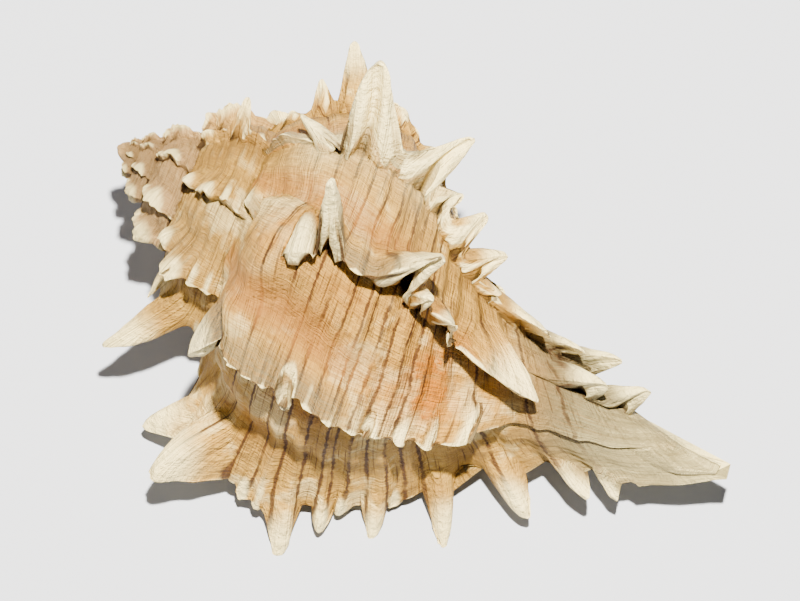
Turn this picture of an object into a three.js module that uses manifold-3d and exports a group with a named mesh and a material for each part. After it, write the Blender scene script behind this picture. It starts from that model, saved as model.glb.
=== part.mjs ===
import * as THREE from "three";
import { mergeVertices } from "three/addons/utils/BufferGeometryUtils.js";
import Module from "manifold-3d";

// A right-handed spiny sea shell, one natural piece, lying on its opening with the back up.
// Millimetres. In the shell's own frame x runs along the axis from the tip of the spire to the
// end of the canal, y points away from the outer lip and z out of the back.

const wasm = await Module();
wasm.setup();

const rad = THREE.MathUtils.degToRad;

// How the shell lies
const AXIS_TURN = rad(28); // the axis runs down to the right, seen from above
const VIEW_TILT = rad(17); // the back leans this much towards the front of the part
const APEX = new THREE.Vector3(-54.35, 26.14, 28.2); // start of the spiral in the part's frame

// Growth law: every section is the lip's section, turned back and shrunk
const GROWTH_PER_TURN = 1.78;
const LIP_ANGLE = rad(92);
const STAGE_STEP = rad(46.5);
const STAGE_COUNT = 25;
const WHORL_STAGES = 8; // stages of the last whorl, whose sections reach down to the canal
const SPIRE_CORD = 5.6; // the section of an older whorl is buried from this cord on
const CANAL_BEND = 0.003;
const CANAL_BEND_START = 85;

// The lip's section as distance along the axis and radius: cord 0 is the seam, cord 12 the canal's end
const LIP_SECTION = new THREE.SplineCurve([
  new THREE.Vector2(30.4, 19.0),
  new THREE.Vector2(33.0, 24.5),
  new THREE.Vector2(36.4, 30.0),
  new THREE.Vector2(41.8, 34.2),
  new THREE.Vector2(49.0, 36.4),
  new THREE.Vector2(57.6, 36.2),
  new THREE.Vector2(65.7, 33.4),
  new THREE.Vector2(73.8, 28.2),
  new THREE.Vector2(81.0, 21.2),
  new THREE.Vector2(90.0, 15.0),
  new THREE.Vector2(100.8, 11.4),
  new THREE.Vector2(113.4, 7.6),
  new THREE.Vector2(124.6, 1.5),
]);
const LAST_CORD = 12;

// Each whorl is a little flat above its shoulder, on the side away from the lip
const FLAT_SIDE = 0.14;
const FLAT_ANGLE = rad(-100);
const FLAT_FULL_CORD = 2.4;
const FLAT_END_CORD = 4.8;

// Height of the frill that ends each growth stage, cord by cord
const FRILL_HEIGHTS = [0.8, 2.6, 4.8, 6.5, 6.8, 6.2, 5.4, 4.4, 2.4, 1.3, 1.0, 1.4, 0.4];
const FRILL_CURVE = new THREE.SplineCurve(
  FRILL_HEIGHTS.map((height, cord) => new THREE.Vector2(cord, height)),
);
const FRILL_LEAN = 0.35;
const FRILL_FRONT = rad(3.2); // turn taken by the steep front of a frill
const FRILL_SINK = 0.94; // the foot of the front goes under the next stage
const STAGE_OVERLAP = rad(10);
const AXIS_OVERLAP = 1.5; // each stage is filled to this far past the axis
const SLANT_PER_CORD = rad(2.6); // the frills run ahead towards the canal
const SLANT_START = 3.5;
const SLANT_CORDS = 4.5;
const FLARE_START = 0.7; // a frill that the photograph shows flares out from here to its edge
const FLARE_EASE = 1.6;
const EDGE_BLEND = 0.7; // cords over which it passes into the plain frill
const SPINE_TAPER = 0.66;
const WEB_SHARE = 0.24; // share of a spine's reach that the web at its foot takes
const WEB_WIDTH = 2.6;

// How finely a stage is sampled
const WHORL_RISE_ROWS = [0, 0.5, 0.7, 0.87, 1]; // from the stage's start up to the crest of its frill
const SPIRE_RISE_ROWS = [0, 0.6, 1];
const FALL_ROWS = [0.4, 1]; // down the steep front
const SPINE_FLANK = 0.35; // share of a spine's half width
const CORD_GAP = 0.15; // the least distance between two sampled cords
const WHORL_FILL = 0.6; // the greatest, on the last whorl
const SPIRE_FILL = 1.4; // and on the older ones
const AXIS_SHARES = [1.0, 0.75, 0.5, 0.2]; // points of the filling along the axis

// The photograph's scale and view
const PIXEL = 0.18; // millimetres to a pixel at the axis
const APEX_PIXEL = new THREE.Vector2(115, 145);
const MIDDLE_PIXEL = new THREE.Vector2(415.5, 299.5);
const CAMERA_HEIGHT = 1200;

// A spine that the photograph shows: cord, pixel and height of its tip over the axis, half its width
const seen = (cord, x, y, height, width) => ({ cord, x, y, height, width });

// A point of a frill's edge that the photograph shows
const edge = (cord, x, y, height) => ({ cord, x, y, height });

// Growth stages from the lip back; those beyond this list follow STAGE_STEP and the plain spines
const STAGES = [
  {
    degrees: 92,
    frill: 1.0,
    spines: [
      seen(1.75, 143, 426, -9, 1.8),
      seen(2.9, 148, 478, 4, 4.4),
      seen(4.05, 238, 499, -5, 1.2),
      seen(4.85, 277, 557, -7.2, 2.5),
      seen(5.7, 320, 533, -5, 1.5),
      seen(6.6, 370, 541, -8, 1.8),
      seen(7.75, 443, 552, -7.6, 2.3),
      seen(8.75, 528, 519, -3, 2.5),
      seen(9.7, 586, 498, 1, 2.2),
      seen(10.4, 616, 501, -1, 1.6),
    ],
    edge: [
      edge(0.9, 199, 378, -3),
      edge(1.5, 186, 412, -6),
      edge(2.1, 192, 438, -4),
      edge(3.9, 240, 486, -3),
      edge(4.4, 258, 505, -4),
      edge(5.3, 304, 506, -5),
      edge(6.1, 345, 504, -6),
      edge(7.1, 402, 500, -6),
      edge(8.2, 462, 468, -5),
      edge(9.2, 535, 462, -3),
      edge(10.0, 592, 470, -1),
      edge(10.9, 640, 487, 2),
    ],
  },
  {
    degrees: 38,
    frill: 0.9,
    spines: [
      seen(1.25, 189, 356, 16, 1.8),
      seen(4.3, 284, 410, 26, 1.8),
      seen(6.5, 366, 437, 21, 1.4),
      seen(7.3, 399, 446, 17, 1.8),
      seen(8.0, 429, 450, 13, 1.6),
      seen(8.7, 468, 443, 12, 2.6),
    ],
    edge: [
      edge(0.6, 240, 318, 20),
      edge(1.25, 227, 346, 23),
      edge(1.7, 223, 334, 33),
      edge(2.0, 219, 343, 36),
      edge(2.5, 226, 364, 36),
      edge(3.1, 244, 378, 35),
      edge(3.8, 263, 388, 33),
      edge(4.3, 281, 391, 31),
      edge(4.7, 297, 400, 31),
      edge(5.2, 313, 416, 31),
      edge(5.7, 330, 427, 29),
      edge(6.3, 356, 434, 25),
      edge(7.35, 398, 440, 18),
      edge(8.1, 428, 445, 15),
      edge(8.8, 458, 440, 13),
    ],
  },
  {
    degrees: -8,
    frill: 0.9,
    spines: [
      seen(3.2, 293, 247, 38, 2.4),
      seen(4.3, 329, 182, 50, 2.6),
      seen(6.0, 442, 258, 43, 4.4),
      seen(6.8, 431, 301, 37, 1.8),
      seen(7.6, 456, 327, 34, 2.4),
      seen(8.1, 447, 345, 30, 1.6),
      seen(9.0, 533, 401, 17, 4.2),
      seen(10.6, 605, 385, 15, 4.0),
      seen(11.4, 650, 391, 10, 3.4),
    ],
    edge: [
      edge(1.4, 262, 246, 25),
      edge(2.2, 270, 261, 28),
      edge(2.9, 283, 262, 32),
      edge(3.6, 309, 261, 35),
      edge(4.05, 319, 259, 36),
      edge(4.55, 338, 263, 36.5),
      edge(5.0, 357, 275, 36.5),
      edge(5.5, 376, 281, 36.5),
      edge(6.0, 397, 279, 36),
      edge(6.6, 408, 296, 33),
      edge(7.2, 427, 309, 31),
      edge(7.9, 449, 328, 28),
      edge(8.4, 455, 345, 24),
    ],
  },
  {
    degrees: -46,
    frill: 0.8,
    spines: [
      seen(2.9, 300, 117, 18, 2.8),
      seen(4.2, 376, 64, 33, 5.2),
      seen(5.7, 474, 139, 18, 4.4),
      seen(6.6, 462, 195, 16, 2.0),
      seen(7.3, 486, 217, 14, 2.6),
      seen(8.1, 508, 257, 12, 2.8),
      seen(8.7, 507, 301, 10, 2.4),
      seen(9.5, 548, 334, 19, 5.0),
      seen(10.4, 583, 351, 14, 3.0),
      seen(11.0, 621, 360, 11, 3.4),
    ],
    edge: [
      edge(2.4, 322, 150, 18),
      edge(3.2, 338, 158, 23),
      edge(3.8, 352, 160, 26),
      edge(4.5, 384, 152, 27),
      edge(5.2, 410, 162, 25),
      edge(5.9, 428, 172, 23),
      edge(6.5, 437, 192, 20),
    ],
  },
  {
    degrees: -92,
    frill: 0.35,
    spines: [seen(2.9, 320, 79, 0, 1.6), seen(3.8, 354, 42, 4, 2.8)],
    edge: [],
  },
  { degrees: -138, frill: 0.45, spines: [], edge: [] },
  { degrees: -184, frill: 0.25, spines: [], edge: [] },
  { degrees: -230, frill: 0.45, spines: [], edge: [] },
  {
    degrees: -274,
    frill: 0.6,
    spines: [seen(1.7, 147, 297, -3, 2.0), seen(3.3, 104, 348, 1, 4.6)],
    edge: [],
  },
  { degrees: -319, frill: 0.8, spines: [seen(3.0, 163, 276, 14, 3.4)], edge: [] },
  { degrees: -363, frill: 0.8, spines: [seen(3.0, 203, 190, 21, 3.0)], edge: [] },
  { degrees: -411, frill: 0.7, spines: [seen(3.35, 249, 97, 12, 3.0)], edge: [] },
];
const OLD_FRILL = 0.75;

// Plain spines of the stages that lie out of sight, at the lip's size: cord, outward, canalward, width
const PLAIN_SPINES = [
  { cord: 1.7, outward: 5.5, canalward: -2.0, width: 3.2 },
  { cord: 3.0, outward: 10.5, canalward: -2.0, width: 7.0 },
  { cord: 4.7, outward: 9.0, canalward: 0.0, width: 5.5 },
  { cord: 6.4, outward: 7.0, canalward: 0.0, width: 4.0 },
  { cord: 7.65, outward: 8.5, canalward: 2.0, width: 5.0 },
  { cord: 8.75, outward: 7.0, canalward: 3.0, width: 5.0 },
  { cord: 9.65, outward: 5.5, canalward: 3.5, width: 4.5 },
];
const FIRST_PLAIN_STAGE = 4;
const SMOOTH_STAGE = 7; // this stage lies under the inner lip and has lost its spines

// Spines of the stage beside the opening, which rests on them
const GROUND_STAGE = 6;
const GROUND_SPINES = [
  { cord: 1.7, outward: 3.5, canalward: -1.5, width: 3.2 },
  { cord: 3.0, outward: 5.6, canalward: -1.0, width: 6.0 },
  { cord: 4.7, outward: 2.6, canalward: 0.0, width: 4.5 },
  { cord: 6.4, outward: 5.6, canalward: 0.0, width: 4.5 },
  { cord: 7.65, outward: 12.2, canalward: 1.0, width: 5.0 },
  { cord: 8.75, outward: 7.0, canalward: 3.0, width: 5.0 },
  { cord: 9.65, outward: 5.5, canalward: 3.5, width: 4.5 },
];
const SPIRE_SPINE_CORD = 4; // an older whorl shows its spines up to this cord
const SPIRE_REACH = 0.6; // and they are lower
const EDGE_STAGE = 4; // the plain spines of this stage would stand out above the shell's upper edge
const EDGE_REACH = 0.15;

// Solid core of the shell and its canal: distance along the axis, radius and swing to the lip
const CORE = [
  { along: 0.5, radius: 0.3, swing: 0 },
  { along: 5, radius: 2.6, swing: 0 },
  { along: 30, radius: 7, swing: 0 },
  { along: 50, radius: 8, swing: 0 },
  { along: 70, radius: 6.5, swing: 0 },
  { along: 90, radius: 6, swing: 1 },
  { along: 105, radius: 4.2, swing: 2.4 },
  { along: 115, radius: 2.8, swing: 2.6 },
  { along: 123, radius: 1.2, swing: 0.6 },
];
const CORE_SIDES = 10;

// Hollow behind the lip, as a section of the lip's plane, and the slit that runs on into the canal
const HOLLOW_SECTION = [
  [38.0, 25.5],
  [43.0, 31.0],
  [50.0, 33.2],
  [58.0, 32.6],
  [66.0, 29.0],
  [74.0, 23.0],
  [81.0, 16.0],
  [88.0, 10.0],
  [93.0, 7.5],
  [90.0, 4.5],
  [78.0, 5.0],
  [68.0, 5.8],
  [59.0, 8.0],
  [51.0, 12.5],
  [44.0, 18.5],
];
const HOLLOW_FRONT = rad(128);
const HOLLOW_BACK = rad(-60);
const HOLLOW_STEPS = 9;
const SLIT_SECTION = [
  [88.0, 7.5],
  [100.0, 5.6],
  [111.0, 4.0],
  [119.0, 2.6],
  [117.0, 1.0],
  [100.0, 2.0],
  [88.0, 3.5],
];
const SLIT_FRONT = rad(128);
const SLIT_BACK = rad(35);
const SLIT_STEPS = 4;

const GROUND_SIDE = 400;
const GROUND_DEPTH = 100;

function growth(angle) {
  return Math.pow(GROWTH_PER_TURN, (angle - LIP_ANGLE) / (2 * Math.PI));
}

function section(cord) {
  return LIP_SECTION.getPoint(cord / LAST_CORD);
}

function frillHeight(cord) {
  return FRILL_CURVE.getPoint(cord / LAST_CORD).y;
}

// Point of the shell's frame at a distance along the axis, a radius and an angle round the axis.
function place(along, radius, angle) {
  const bend = CANAL_BEND * Math.max(0, along - CANAL_BEND_START) ** 2;
  return new THREE.Vector3(along, -radius * Math.sin(angle), radius * Math.cos(angle) + bend);
}

// Point of the plain spiral surface, without frills and spines.
function surface(angle, cord) {
  const slant = SLANT_PER_CORD * THREE.MathUtils.clamp(cord - SLANT_START, 0, SLANT_CORDS);
  const point = section(cord).multiplyScalar(growth(angle));
  const facing = Math.max(0, Math.cos(angle - FLAT_ANGLE));
  const ramp = 1 - THREE.MathUtils.smoothstep(cord, FLAT_FULL_CORD, FLAT_END_CORD);
  return place(point.x, point.y * (1 - FLAT_SIDE * facing * ramp), angle + slant);
}

// Directions on the plain surface: outward, on with growth and towards the canal.
function directions(angle, cord) {
  const step = 0.01;
  const from = Math.max(cord - step, 0);
  const to = Math.min(cord + step, LAST_CORD);
  const onward = surface(angle + step, cord).sub(surface(angle - step, cord)).normalize();
  const canalward = surface(angle, to).sub(surface(angle, from)).normalize();
  const outward = new THREE.Vector3().crossVectors(onward, canalward).normalize();
  return { outward, onward, canalward };
}

// Length along the lip's section from cord to cord.
function cordDistance(from, to) {
  const steps = 8;
  let length = 0;
  for (let i = 0; i < steps; i += 1) {
    const start = section(THREE.MathUtils.lerp(from, to, i / steps));
    const end = section(THREE.MathUtils.lerp(from, to, (i + 1) / steps));
    length += start.distanceTo(end);
  }
  return Math.sign(to - from) * length;
}

// Place of a point that the photograph shows, in the shell's frame.
function pointFromPhoto({ x, y, height }) {
  const nearness = (CAMERA_HEIGHT - height) / CAMERA_HEIGHT;
  const flat = new THREE.Vector2(x, y).sub(MIDDLE_PIXEL).multiplyScalar(nearness).add(MIDDLE_PIXEL);
  flat.sub(APEX_PIXEL).multiplyScalar(PIXEL);
  flat.rotateAround(new THREE.Vector2(), -AXIS_TURN);
  return new THREE.Vector3(flat.x, -flat.y, height);
}

// All growth stages, each with its angle, its size and its spines as cord, width and tip.
function growthStages() {
  const stages = [];
  let angle = 0;
  for (let index = 0; index <= STAGE_COUNT; index += 1) {
    const known = STAGES[index];
    angle = known ? rad(known.degrees) : angle - STAGE_STEP;
    const size = growth(angle);
    const stage = { angle, size, frill: (known ? known.frill : OLD_FRILL) * size, spines: [], edge: [] };
    for (const spine of known ? known.spines : []) {
      stage.spines.push({ cord: spine.cord, width: spine.width * size, tip: pointFromPhoto(spine) });
    }
    for (const point of known ? known.edge : []) {
      stage.edge.push({ cord: point.cord, point: pointFromPhoto(point) });
    }
    if (index >= FIRST_PLAIN_STAGE && index !== SMOOTH_STAGE) {
      addPlainSpines(stage, index);
    }
    stages.push(stage);
  }
  return stages;
}

// Adds the plain spines on the cords that have no spine from the photograph.
function addPlainSpines(stage, index) {
  const lastCord = index < WHORL_STAGES ? LAST_CORD : SPIRE_SPINE_CORD;
  const taken = stage.spines.map((spine) => spine.cord);
  const plain = index === GROUND_STAGE ? GROUND_SPINES : PLAIN_SPINES;
  let reach = stage.size;
  if (index >= WHORL_STAGES) {
    reach *= SPIRE_REACH;
  }
  if (index === EDGE_STAGE) {
    reach *= EDGE_REACH;
  }
  for (const { cord, outward, canalward, width } of plain) {
    if (cord > lastCord || taken.some((other) => Math.abs(other - cord) < 0.8)) {
      continue;
    }
    const aim = directions(stage.angle, cord);
    const tip = surface(stage.angle, cord);
    tip.addScaledVector(aim.outward, outward * reach);
    tip.addScaledVector(aim.canalward, canalward * reach);
    stage.spines.push({ cord, width: width * stage.size, tip });
  }
}

// Cords at which a stage is sampled: each spine's middle, flanks and feet, and fillers between.
function stageCords(stage, lastCord, fill) {
  const wanted = [0, lastCord];
  for (const spine of stage.spines) {
    const perCord = cordDistance(spine.cord - 0.3, spine.cord + 0.3) / 0.6;
    const half = spine.width / (perCord * stage.size);
    [-1, -SPINE_FLANK, SPINE_FLANK, 1].forEach((share) => wanted.push(spine.cord + share * half));
  }
  const kept = stage.spines.map((spine) => spine.cord);
  for (const cord of wanted) {
    const inside = cord >= 0 && cord <= lastCord;
    if (inside && kept.every((other) => Math.abs(other - cord) >= CORD_GAP)) {
      kept.push(cord);
    }
  }
  kept.sort((first, second) => first - second);
  const cords = [kept[0]];
  for (let i = 1; i < kept.length; i += 1) {
    const pieces = Math.ceil((kept[i] - kept[i - 1]) / fill);
    for (let piece = 1; piece <= pieces; piece += 1) {
      cords.push(THREE.MathUtils.lerp(kept[i - 1], kept[i], piece / pieces));
    }
  }
  return cords;
}

// How far a cord follows the frill's edge that the photograph shows, from 0 to 1.
function edgeShare(stage, cord) {
  if (stage.edge.length === 0) {
    return 0;
  }
  const first = stage.edge[0].cord;
  const last = stage.edge.at(-1).cord;
  const start = THREE.MathUtils.smoothstep(cord, first - EDGE_BLEND, first);
  return start * (1 - THREE.MathUtils.smoothstep(cord, last, last + EDGE_BLEND));
}

// Point of that edge.
function edgePoint(stage, cord) {
  const inside = THREE.MathUtils.clamp(cord, stage.edge[0].cord, stage.edge.at(-1).cord);
  const next = Math.max(1, stage.edge.findIndex((known) => known.cord >= inside));
  const from = stage.edge[next - 1];
  const to = stage.edge[next];
  return from.point.clone().lerp(to.point, (inside - from.cord) / (to.cord - from.cord));
}

// How a stage's frill moves a point. rise runs from 0 at the stage's start to 1 on the crest of
// its frill, fall from 0 on the crest to 1 at the foot of the frill's steep front.
function frillShift(stage, angle, cord, rise, fall) {
  const aim = directions(angle, cord);
  const height = frillHeight(cord) * stage.frill;
  const up = fall > 0 ? (1 - fall) ** 0.7 : rise ** 3;
  const lean = fall > 0 ? 1 - fall : rise ** 6;
  const plain = aim.outward.clone().multiplyScalar(height * up);
  plain.addScaledVector(aim.onward, height * lean * FRILL_LEAN);
  const share = edgeShare(stage, cord);
  if (share === 0) {
    return plain;
  }
  const flare = Math.max(0, (rise - FLARE_START) / (1 - FLARE_START)) ** FLARE_EASE;
  const drawn = edgePoint(stage, cord).sub(surface(stage.angle, cord));
  drawn.multiplyScalar(fall > 0 ? (1 - fall) ** 0.8 : flare);
  return plain.lerp(drawn, share);
}

// One point of a stage's outside.
function stagePoint(stage, angle, cord, rise, fall) {
  const point = surface(angle, cord).add(frillShift(stage, angle, cord, rise, fall));
  for (const spine of stage.spines) {
    const across = (cordDistance(spine.cord, cord) * stage.size) / spine.width;
    const root = Math.max(spine.width * 1.3, 3 * stage.size);
    const behind = ((stage.angle - angle) * section(spine.cord).y * stage.size) / root;
    const away = Math.hypot(across, fall > 0 ? fall : behind);
    const finger = Math.max(0, 1 - away) ** SPINE_TAPER;
    const web = Math.max(0, 1 - away / WEB_WIDTH) ** 2;
    point.addScaledVector(spineVector(stage, spine), THREE.MathUtils.lerp(finger, web, WEB_SHARE));
  }
  return point;
}

// From the crest of the frill to the tip of a spine.
function spineVector(stage, spine) {
  const crest = surface(stage.angle, spine.cord);
  crest.add(frillShift(stage, stage.angle, spine.cord, 1, 0));
  return spine.tip.clone().sub(crest);
}

// Closed solid through a row of closed loops of points, capped by the flat outline of a loop.
function loft(loops, outline) {
  const size = loops[0].length;
  const corners = loops.flat();
  const faces = [];
  for (let row = 0; row + 1 < loops.length; row += 1) {
    for (let i = 0; i < size; i += 1) {
      const a = row * size + i;
      const b = row * size + ((i + 1) % size);
      faces.push([a, b, b + size], [a, b + size, a + size]);
    }
  }
  const last = (loops.length - 1) * size;
  for (const [a, b, c] of THREE.ShapeUtils.triangulateShape(outline, [])) {
    const cap = THREE.ShapeUtils.isClockWise(outline) ? [a, c, b] : [a, b, c];
    faces.push(cap.toReversed(), cap.map((corner) => corner + last));
  }
  return solidFrom(corners, faces);
}

// Solid from corners and faces, turned so that its faces look out.
function solidFrom(corners, faces) {
  let volume = 0;
  for (const [a, b, c] of faces) {
    volume += corners[a].dot(new THREE.Vector3().crossVectors(corners[b], corners[c]));
  }
  const turned = volume < 0 ? faces.map((face) => face.toReversed()) : faces;
  const mesh = new wasm.Mesh({
    numProp: 3,
    vertProperties: new Float32Array(corners.flatMap((corner) => corner.toArray())),
    triVerts: new Uint32Array(turned.flat()),
  });
  return new wasm.Manifold(mesh);
}

// Solid of one growth stage: its outside, closed by a line just past the shell's axis.
function stageSolid(stages, index) {
  const stage = stages[index];
  const start = stages[index + 1].angle - STAGE_OVERLAP;
  const inWhorl = index < WHORL_STAGES;
  const lastCord = inWhorl ? LAST_CORD : SPIRE_CORD;
  const cords = stageCords(stage, lastCord, inWhorl ? WHORL_FILL : SPIRE_FILL);
  const past = -AXIS_OVERLAP * stage.size;
  const fillings = AXIS_SHARES.map((share) => section(lastCord).x * share * stage.size);
  const axis = fillings.map((along) => place(along, past, (start + stage.angle) / 2));
  const rises = inWhorl ? WHORL_RISE_ROWS : SPIRE_RISE_ROWS;
  const loops = rises.map((rise) => {
    const angle = THREE.MathUtils.lerp(start, stage.angle, rise);
    return [...cords.map((cord) => stagePoint(stage, angle, cord, rise, 0)), ...axis];
  });
  for (const fall of FALL_ROWS) {
    const angle = stage.angle + FRILL_FRONT * fall;
    const front = cords.map((cord) => stagePoint(stage, angle, cord, 1, fall));
    if (fall === 1) {
      front.forEach(sink);
    }
    loops.push([...front, ...axis]);
  }
  const outline = cords.map((cord) => section(cord).multiplyScalar(stage.size));
  fillings.forEach((along) => outline.push(new THREE.Vector2(along, past)));
  return loft(loops, outline);
}

// Moves a point a little towards the axis.
function sink(point) {
  const bend = place(point.x, 0, 0).z;
  point.y *= FRILL_SINK;
  point.z = bend + (point.z - bend) * FRILL_SINK;
}

// Solid swept along the spiral by a section of the lip's plane.
function sweptSolid(points, front, back, steps) {
  const loops = [];
  for (let step = 0; step <= steps; step += 1) {
    const angle = THREE.MathUtils.lerp(back, front, step / steps);
    const size = growth(angle);
    loops.push(points.map(([along, radius]) => place(along * size, radius * size, angle)));
  }
  const outline = points.map(([along, radius]) => new THREE.Vector2(along, radius));
  return loft(loops, outline);
}

// Round core along the bent axis.
function coreSolid() {
  const loops = CORE.map(({ along, radius, swing }) => {
    const ring = [];
    for (let side = 0; side < CORE_SIDES; side += 1) {
      const point = place(along, radius, (2 * Math.PI * side) / CORE_SIDES);
      point.y -= swing;
      ring.push(point);
    }
    return ring;
  });
  const outline = loops[0].map((point) => new THREE.Vector2(point.z, point.y));
  return loft(loops, outline);
}

// The whole shell in its own frame.
function shellSolid() {
  const stages = growthStages();
  let solid = coreSolid();
  for (let index = 0; index < STAGE_COUNT; index += 1) {
    solid = solid.add(stageSolid(stages, index));
  }
  const hollow = sweptSolid(HOLLOW_SECTION, HOLLOW_FRONT, HOLLOW_BACK, HOLLOW_STEPS);
  const slit = sweptSolid(SLIT_SECTION, SLIT_FRONT, SLIT_BACK, SLIT_STEPS);
  return withoutPockets(solid.subtract(hollow.add(slit)));
}

// The solid inside its outermost surface: small closed pockets between the frills are filled.
function withoutPockets(solid) {
  const surfaces = solid.decompose();
  return surfaces.reduce((outer, other) => (other.volume() > outer.volume() ? other : outer));
}

function solidFromGeometry(geometry) {
  const plain = geometry.clone();
  plain.deleteAttribute("normal");
  plain.deleteAttribute("uv");
  const joined = mergeVertices(plain, 1e-4);
  const mesh = new wasm.Mesh({
    numProp: 3,
    vertProperties: new Float32Array(joined.attributes.position.array),
    triVerts: new Uint32Array(joined.index.array),
  });
  return new wasm.Manifold(mesh);
}

function geometryFromSolid(solid) {
  const mesh = solid.getMesh();
  const geometry = new THREE.BufferGeometry();
  geometry.setAttribute("position", new THREE.BufferAttribute(new Float32Array(mesh.vertProperties), 3));
  geometry.setIndex(new THREE.BufferAttribute(new Uint32Array(mesh.triVerts), 1));
  return geometry;
}

// From the shell's frame to the part's: the axis turned, the whole leaning to the front.
function layDown(geometry) {
  geometry.rotateZ(-AXIS_TURN);
  geometry.rotateX(VIEW_TILT);
  geometry.translate(APEX.x, APEX.y, APEX.z);
  return geometry;
}

// The shell on its rest, with the tips that meet the ground worn flat.
function restingShell() {
  const lying = solidFromGeometry(layDown(geometryFromSolid(shellSolid())));
  const ground = new THREE.BoxGeometry(GROUND_SIDE, GROUND_SIDE, GROUND_DEPTH);
  ground.translate(0, 0, -GROUND_DEPTH / 2);
  const geometry = geometryFromSolid(lying.subtract(solidFromGeometry(ground))).toNonIndexed();
  geometry.computeVertexNormals();
  return geometry;
}

const shell = new THREE.Mesh(
  restingShell(),
  new THREE.MeshStandardMaterial({ color: 0xd9c3a0, roughness: 0.65, metalness: 0 }),
);
shell.name = "shell";

const part = new THREE.Group();
part.add(shell);

export default part;
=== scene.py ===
"""Dresses the murex shell for its picture: one closed surface with frills, spines, cords and colour.

Lengths in this script are millimetres in the shell's own frame, where x runs along the axis from the
tip of the spire to the end of the canal, y points away from the outer lip and z out of the back.
Finished meshes are in metres in the part's frame.
"""

import logging
import math
from collections.abc import Sequence
from dataclasses import dataclass, field, replace
from enum import Enum

import bpy
import numpy as np
from bpy.types import Material, Mesh, Node, NodeOutputs, NodeSocket, NodeTree, Object
from mathutils import Matrix, Vector
from mathutils.bvhtree import BVHTree
from mathutils.kdtree import KDTree


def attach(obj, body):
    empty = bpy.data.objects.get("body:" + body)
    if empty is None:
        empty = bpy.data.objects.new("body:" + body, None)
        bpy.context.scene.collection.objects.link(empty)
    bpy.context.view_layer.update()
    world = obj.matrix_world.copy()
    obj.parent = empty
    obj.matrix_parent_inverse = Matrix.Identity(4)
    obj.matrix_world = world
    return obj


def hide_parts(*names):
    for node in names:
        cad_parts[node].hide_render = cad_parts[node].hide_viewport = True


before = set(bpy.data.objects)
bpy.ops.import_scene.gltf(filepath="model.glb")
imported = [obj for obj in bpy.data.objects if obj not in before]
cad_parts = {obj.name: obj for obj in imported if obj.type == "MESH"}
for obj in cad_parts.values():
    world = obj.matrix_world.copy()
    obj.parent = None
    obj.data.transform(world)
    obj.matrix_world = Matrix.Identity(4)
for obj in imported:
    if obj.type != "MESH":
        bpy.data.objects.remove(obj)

log = logging.getLogger("murex_shell")

Array = np.ndarray
Colour = tuple[float, float, float]
Row = tuple[float, ...]
Face = tuple[int, ...]

MM = 0.001
RIPPLE_STEPS = 256
NOISE_MEAN = 0.5


class Zone(Enum):
    """Side of the shell that a point lies on, as stored in the attribute `inner`."""

    OUTSIDE = 0.0
    MOUTH = 1.0


# Helpers for numbers


def catmull(values: Array, position: Array) -> Array:
    """Runs a smooth curve through evenly spaced values.

    Args:
        values: The values, one row for each whole position.
        position: Where the curve is read, from 0 to the last row's number.

    Returns:
        The curve's value at each position.
    """
    last = len(values) - 1
    position = np.clip(np.asarray(position, float), 0.0, last)
    start = np.minimum(position.astype(int), last - 1)
    t = position - start
    if values.ndim > 1:
        t = t[..., None]
    before = values[np.maximum(start - 1, 0)]
    here = values[start]
    there = values[start + 1]
    after = values[np.minimum(start + 2, last)]
    leave = (there - before) * 0.5
    arrive = (after - here) * 0.5
    cubic = (2 * here - 2 * there + leave + arrive) * t**3
    square = (-3 * here + 3 * there - 2 * leave - arrive) * t**2
    return cubic + square + leave * t + here


def smoothstep(value: Array, low: float, high: float) -> Array:
    """Rises smoothly from 0, where a value is low, to 1, where it is high."""
    t = np.clip((np.asarray(value, float) - low) / (high - low), 0.0, 1.0)
    return t * t * (3 - 2 * t)


def ripple(position: Array, seed: int) -> Array:
    """Smooth random wave along a line, the same in each run.

    Args:
        position: Where the wave is read; it changes about once in each unit.
        seed: Picks the wave.

    Returns:
        Values from -1 to 1.
    """
    table = np.random.default_rng(seed).uniform(-1.0, 1.0, RIPPLE_STEPS)
    start = np.floor(position).astype(int)
    t = smoothstep(position - start, 0.0, 1.0)
    return table[start % RIPPLE_STEPS] * (1 - t) + table[(start + 1) % RIPPLE_STEPS] * t


def unit(vectors: Array) -> Array:
    """Scales the vectors along an array's last axis to length 1."""
    return vectors / np.maximum(np.linalg.norm(vectors, axis=-1, keepdims=True), 1e-9)


# The form


@dataclass(frozen=True)
class Lie:
    """How the shell lies in the part's frame."""

    axis_turn: float = math.radians(28)
    view_tilt: float = math.radians(17)
    apex: tuple[float, float, float] = (-54.35, 26.14, 28.2)

    def matrix(self) -> Matrix:
        """Matrix from millimetres in the shell's frame to metres in the part's."""
        turn = Matrix.Rotation(self.view_tilt, 4, "X") @ Matrix.Rotation(-self.axis_turn, 4, "Z")
        return Matrix.Scale(MM, 4) @ Matrix.Translation(self.apex) @ turn

    def to_part(self, points: Array) -> Array:
        """Moves points, one in each row, from the shell's frame to the part's."""
        matrix = np.array(self.matrix())
        return points @ matrix[:3, :3].T + matrix[:3, 3]


LIE = Lie()


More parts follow.
